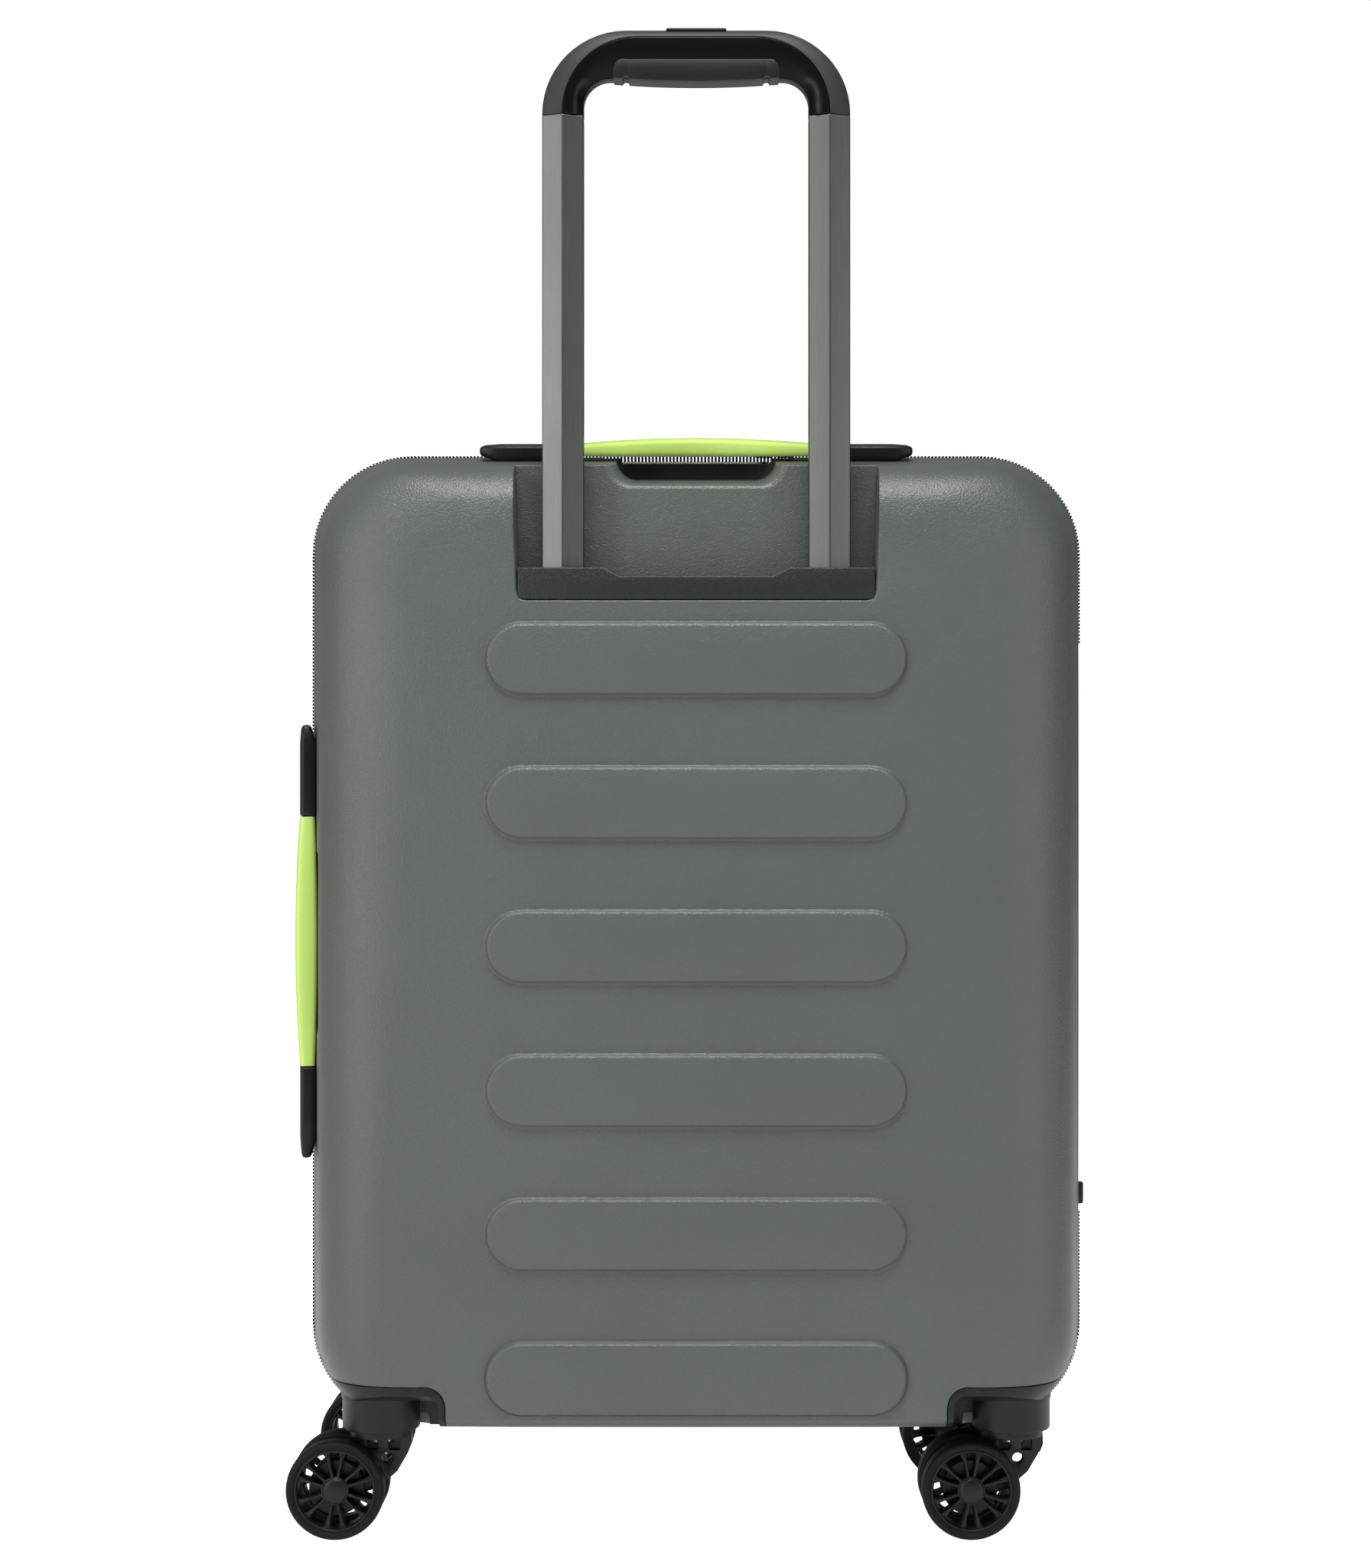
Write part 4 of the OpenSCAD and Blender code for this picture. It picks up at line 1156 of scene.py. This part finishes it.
@dataclass
class ZipTeeth:
    """The nylon coil round one rim, as a row of small bent teeth."""

    sizes: CaseSizes
    half: Half
    pitch: float = 1.8

    def build(self, look: Finishes) -> bpy.types.Object:
        """Models one tooth, repeats it and runs the row round the rim."""
        c = self.sizes
        sign = self.half.value
        ring = outline("rim_path", c.width / 2 - 0.2, c.low + 0.2, c.high - 0.2, c.corner, 0, 12)
        with editing(ring, "FACE"):
            pick_all()
            bpy.ops.mesh.delete(type="ONLY_FACE")
        activate(ring)
        bpy.ops.object.convert(target="CURVE")
        path = bpy.context.object
        length = sum(s.calc_length() for s in path.data.splines) / MM
        count = round(length / self.pitch)
        tooth = block("tooth", (0, -0.9, -1.3), (1.1, 1.2, 1.3))
        with editing(tooth, "VERT"):
            pick(tooth, lambda p: p.y > 1.1 * MM)
            stretch(0.6, 1, 0.75, (0.55, 0, 0))
        bevel_edges(tooth, lambda p: p.y > 1.1 * MM, 0.35, 1)
        made = name_it(tooth, "zip_teeth_" + self.half.name.lower())
        modifier(made, "ARRAY", count=count, use_relative_offset=False, use_constant_offset=True,
                 constant_offset_displace=(length / count * MM, 0, 0))
        LOG.info("%d teeth along %.0f mm", count, length)
        modifier(made, "CURVE", object=path, deform_axis="POS_X")
        discard(path)
        activate(made)
        made.location = (0, sign * 1.45 * MM, 0)
        settle(made)
        with editing(made, "FACE"):
            pick(made, lambda p: p.x > 190 * MM and 150 * MM < p.z < 441 * MM, "faces")
            bpy.ops.mesh.delete(type="FACE")
            bpy.ops.mesh.select_all(action="DESELECT")
            bpy.ops.mesh.select_mode(type="VERT")
            bpy.ops.mesh.select_non_manifold()
            bpy.ops.mesh.select_linked()
            bpy.ops.mesh.delete(type="VERT")
        tidy(made)
        smooth(made, 40)
        return finish_piece(made, look.teeth, self.half.body)


def cloth_area(piece: bpy.types.Object) -> float:
    """One side's area of a thin sheet, in square metres."""
    return sum(face.area for face in piece.data.polygons) / 2


# ---------------------------------------------------------------- soft goods


@dataclass
class SoftGoods:
    """The zip tapes, the linings, the fabric hinge and the packing straps."""

    sizes: CaseSizes
    tape_gap: float = 2.7
    tape_depth: float = 13.0
    hinge_z: tuple[float, float] = (153.6, 441.6)

    def zip_tape(self, half: Half, look: Finishes) -> None:
        """The woven tape that one row of teeth is sewn to, stretched along the inside of the rim."""
        c = self.sizes
        gap, name = self.tape_gap, half.name.lower()
        node = name + "_zip_stringer"
        piece = outline(name + "_zip_tape", c.width / 2 - gap, c.low + gap, c.high - gap, c.corner - gap, -0.15, 12)
        with editing(piece, "EDGE"):
            pick_all()
            bpy.ops.mesh.delete(type="ONLY_FACE")
            pick_all()
            extrude(y=-(self.tape_depth - 0.15))
            about = (0, -self.tape_depth, (c.low + c.high) / 2)
            stretch(1 - 2.25 / (c.width / 2), 1, 1 - 2.45 / ((c.high - c.low) / 2), about)
        tidy(piece)
        modifier(piece, "SOLIDIFY", thickness=0.45 * MM, offset=-1)
        cutters = [block("hinge_room", (166, -30, self.hinge_z[0]), (230, 30, self.hinge_z[1]))]
        if half is Half.BACK:
            cutters += [block("bowl_room", (-51.9, -20, 290), (51.9, -5.7, 560)),
                        block("scoop_room", (-230, -20, 241.7), (0, -5.7, 337.5))]
        else:
            cutters += [block("lock_room", (-32.4, -20, 290), (32.4, -8.5, 560))]
        for cutter in cutters:
            cut(piece, cutter)
        if half is Half.FRONT:
            piece = reflected(piece, 1, "front_zip_tape_sewn")
        smooth(piece, 40)
        finish_piece(piece, look.tape, half.body, [node])

    def lining(self, half: Half, look: Finishes) -> None:
        """The lining, sewn to the shape of the shell's inside."""
        c = self.sizes
        name = half.name.lower()
        shell = ShellHalf(c, Half.BACK)
        piece = shell.pillow(name + "_lining_cloth")
        modifier(piece, "SUBSURF", levels=1, render_levels=1)
        with editing(piece):
            pick_all()
            bpy.ops.mesh.normals_make_consistent(inside=False)
            bpy.ops.transform.shrink_fatten(value=-(c.wall + 1.0) * MM)
            if half is Half.BACK:
                pick(piece, lambda p: p.y < -67.8 * MM)
                stretch(1, 0, 1, (0, -67.8, 0))
        tidy(piece)
        modifier(piece, "SOLIDIFY", thickness=0.8 * MM, offset=-1)
        cutters = [block("mouth", (-300, -11.2, -10), (300, 40, 700))]
        for side in (-1, 1):
            x0, x1 = sorted((side * 108.5, side * 240))
            cutters.append(block("housing_room", (x0, -120, 0), (x1, 20, 93)))
        if half is Half.BACK:
            cutters += [block("bowl_room", (-54, -120, 503), (54, 20, 600)),
                        block("scoop_room", (-240, -120, 240), (-176, 20, 339))]
        for cutter in cutters:
            cut(piece, cutter)
        if half is Half.FRONT:
            piece = reflected(piece, 1, "front_lining_cloth_sewn")
            cut(piece, block("lock_room", (-36, 5, 505), (36, 34, 600)))
        smooth(piece, 45)
        finish_piece(piece, look.lining, half.body, [name + "_lining"])
        area = cloth_area(piece)
        flat = (0.50, 0.60) if half is Half.BACK else (0.56, 0.66)
        min(area, flat[0] * flat[1])

    def hinge(self, look: Finishes) -> None:
        """The strip of fabric that joins the halves along their right side, built as one fixed sheet."""
        c = self.sizes
        reach, low, high = 12.8, self.hinge_z[0] + 12, self.hinge_z[1] - 0.6
        steps = [i * reach / 14 for i in range(-14, 15)]
        piece = chain("hinge_fabric", [(c.width / 2 - 2.9 - 0.165 * abs(y), y, low) for y in steps])
        with editing(piece, "EDGE"):
            pick_all()
            extrude(z=high - low)
            pick_all()
            bpy.ops.mesh.normals_make_consistent(inside=False)
        modifier(piece, "SOLIDIFY", thickness=0.45 * MM, offset=0)
        outwards(piece)
        smooth(piece, 60)
        piece.data.materials.append(look.tape)
        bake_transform(piece)
        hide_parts("hinge_gusset")

    def straps(self, look: Finishes) -> None:
        """Two webbing straps that cross on the lining, and the plate that joins them."""
        middle = (0.0, -66.65, STRAP_Z)
        plate = self.plate("strap_cutter", 24.0, 18.0, 0.0)
        for name, lean in (("first", -32), ("second", 32)):
            piece = block(name + "_strap", (-149.5, 0, -12.4), (149.5, 1.2, 12.4))
            soften(piece, 0.35, 2, 40)
            piece.matrix_world = Matrix.Translation(Vector(middle) * MM) @ Matrix.Rotation(math.radians(lean), 4, "Y")
            settle(piece)
            cut(piece, copy_of(plate, "plate_cutter"))
            smooth(piece, 40)
            finish_piece(piece, look.webbing, "back_half", ["packing_straps"] if lean < 0 else [])
        discard(plate)
        plate = self.plate("strap_plate", 23.6, 17.6, 0.3)
        for side in (-1, 1):
            cut(plate, block("slot", (side * 15 - 1.4, -70, STRAP_Z - 10), (side * 15 + 1.4, -60, STRAP_Z + 10)))
        smooth(soften(plate, 0.4, 2, 35), 40)
        finish_piece(plate, look.black, "back_half")

    @staticmethod
    def plate(name: str, half_w: float, half_h: float, inset: float) -> bpy.types.Object:
        """A flat plate with round corners on the lining's floor."""
        piece = block(name, (-half_w, -66.7 + inset * 0.2, STRAP_Z - half_h), (half_w, -64.4, STRAP_Z + half_h))
        with editing(piece, "EDGE"):
            for sign_x in (-1, 1):
                for sign_z in (-1, 1):
                    pick(piece, lambda p, a=sign_x, b=sign_z: p.x * a > (half_w - 1) * MM
                         and (p.z - STRAP_Z * MM) * b > (half_h - 1) * MM, "edges", add=True)
            bpy.ops.mesh.bevel(offset=7 * MM, segments=6)
        return piece

    def build(self, look: Finishes) -> None:
        """Models everything made of cloth."""
        for half in Half:
            self.zip_tape(half, look)
            self.lining(half, look)
        self.hinge(look)
        self.straps(look)


# ---------------------------------------------------------------- small hard parts


@dataclass
class SmallParts:
    """Hard parts that only need their corners rounded, and the lock's dials."""

    table: tuple[tuple[str, str, str, float], ...] = (
        ("lock_case", "front_half", "black_plastic", 0.8), ("zip_sliders", "front_half", "slider_metal", 0.8),
        ("zip_end_tab", "back_half", "black_plastic", 1.1), ("bottom_feet", "back_half", "black_plastic", 0.8),
        ("handle_bezel", "back_half", "grained_black", 0.5))

    def build(self, look: Finishes) -> None:
        """Rounds each part and models the dials."""
        for node, body, slot, width in self.table:
            piece = from_node(node, node + "_rounded")
            smooth(soften(piece, width, 3, 35), 40)
            finish = {"slider_metal": look.slider, "grained_black": look.grained}.get(slot, look.black)
            finish_piece(piece, finish, body, [node])
        for i in range(1, 4):
            piece = from_node(f"lock_dial_{i}", f"lock_dial_{i}_grooved")
            smooth(soften(piece, 0.7, 3, 40), 40)
            finish_piece(piece, look.matte, f"dial_{i}", [f"lock_dial_{i}"])


# ---------------------------------------------------------------- the carried-over pieces


@dataclass
class PlainPieces:
    """The pieces whose modelled shape is right already, which only need their finish."""

    look: Finishes

    def finish_of(self, node: str) -> bpy.types.Material:
        """The finish of one node, by what it is."""
        if any(word in node for word in ("kingpin", "screw", "axle")):
            return self.look.steel
        return self.look.tube if node == "push_rods" else self.look.black

    def build(self) -> None:
        """Dresses every node."""
        for name, node in frame["nodes"].items():
            node.data.materials.clear()
            node.data.materials.append(self.finish_of(name))
            smooth(node, 32)
            LOG.info("%s keeps its shape", name)


# ---------------------------------------------------------------- the studio


@dataclass
class Studio:
    """The floor, the lights and the camera."""

    eye: tuple[float, float, float] = (0.0, -1.400, 0.3436)
    lens: float = 62.4
    lens_shift: tuple[float, float] = (-0.0068326, 0.0319668)
    sky: tuple[float, float] = (0.30, 0.06)

    def camera(self) -> None:
        """Stands the camera behind the case, level with its middle."""
        data = bpy.data.cameras.new("camera")
        camera = bpy.data.objects.new("camera", data)
        bpy.context.scene.collection.objects.link(camera)
        camera.location = self.eye
        camera.rotation_euler = (math.pi / 2, 0, 0)
        data.sensor_width = 36.0
        data.lens = self.lens
        data.shift_x, data.shift_y = self.lens_shift
        data.clip_start, data.clip_end = 0.01, 50.0
        bpy.context.scene.camera = camera

    def light(self, name: str, at: Sequence[float], aim: Sequence[float], size: tuple[float, float],
              watts: float) -> None:
        """One soft light, of a width and a height."""
        data = bpy.data.lights.new(name, "AREA")
        data.shape, data.size, data.size_y, data.energy = "RECTANGLE", size[0], size[1], watts
        lamp = bpy.data.objects.new(name, data)
        bpy.context.scene.collection.objects.link(lamp)
        lamp.location = at
        lamp.rotation_euler = (Vector(aim) - Vector(at)).to_track_quat("-Z", "Y").to_euler()

    def surroundings(self) -> None:
        """A pale floor, and a white sky that lights the case more from its left."""
        deselect()
        bpy.ops.mesh.primitive_plane_add(size=40, location=(0, 0, 0))
        floor = name_it(bpy.context.object, "floor")
        tree = Tree("studio_floor")
        seen = tree.add("ShaderNodeLightPath", {})["Is Camera Ray"]
        floor.data.materials.append(tree.dress(Base_Color=(0.93, 0.93, 0.93), Roughness=0.9, Specular_IOR_Level=0.0,
                                               Emission_Color=(1.0, 1.0, 1.0), Emission_Strength=seen * 0.9 + 0.22))
        world = bpy.data.worlds.new("sky")
        world.use_nodes = True
        nodes, links = world.node_tree.nodes, world.node_tree.links
        back = nodes["Background"]
        where = nodes.new("ShaderNodeTexCoord")
        split = nodes.new("ShaderNodeSeparateXYZ")
        links.new(where.outputs["Generated"], split.inputs[0])
        side = nodes.new("ShaderNodeMapRange")
        for place, value in zip((1, 2, 3, 4), (-0.9, 0.9, self.sky[0], self.sky[1])):
            side.inputs[place].default_value = value
        links.new(split.outputs["X"], side.inputs[0])
        ray = nodes.new("ShaderNodeLightPath")
        seen = nodes.new("ShaderNodeMix")
        links.new(ray.outputs["Is Camera Ray"], seen.inputs[0])
        links.new(side.outputs[0], seen.inputs[2])
        seen.inputs[3].default_value = 1.0
        links.new(seen.outputs[0], back.inputs["Strength"])
        back.inputs["Color"].default_value = (1, 1, 1, 1)
        bpy.context.scene.world = world
        bpy.context.scene.view_settings.view_transform = "Standard"

    def build(self) -> None:
        """Sets up everything that isn't the object."""
        self.camera()
        self.surroundings()
        self.light("key", (-1.5, -1.4, 1.1), (0, 0, 0.3), (1.1, 1.1), 7)
        self.light("top", (0.0, -0.75, 1.9), (0, 0, 0.3), (1.0, 0.8), 38)
        self.light("left_strip", (-1.25, -1.15, 0.35), (0, 0, 0.33), (0.3, 1.5), 9)
        self.light("right_strip", (1.3, -1.05, 0.35), (0, 0, 0.33), (0.3, 1.5), 6.5)


def main() -> None:
    """Builds the whole suitcase in order."""
    logging.basicConfig(level=logging.INFO, format="%(name)s: %(message)s")
    Studio().build()
    look = Finishes()
    sizes = CaseSizes()
    PlainPieces(look).build()
    for half in Half:
        ShellHalf(sizes, half).build(look)
        for side in Side:
            WheelHousing(sizes, half, side).build(look)
    Casters(sizes).build(look)
    CarryHandle(sizes, "top_handle").build(look)
    CarryHandle(sizes, "side_handle").build(look)
    PullGrip().build(look)
    Tubes().build(look)
    for half in Half:
        ZipTeeth(sizes, half).build(look)
    SoftGoods(sizes).build(look)
    SmallParts().build(look)


if __name__ == "__main__":
    main()
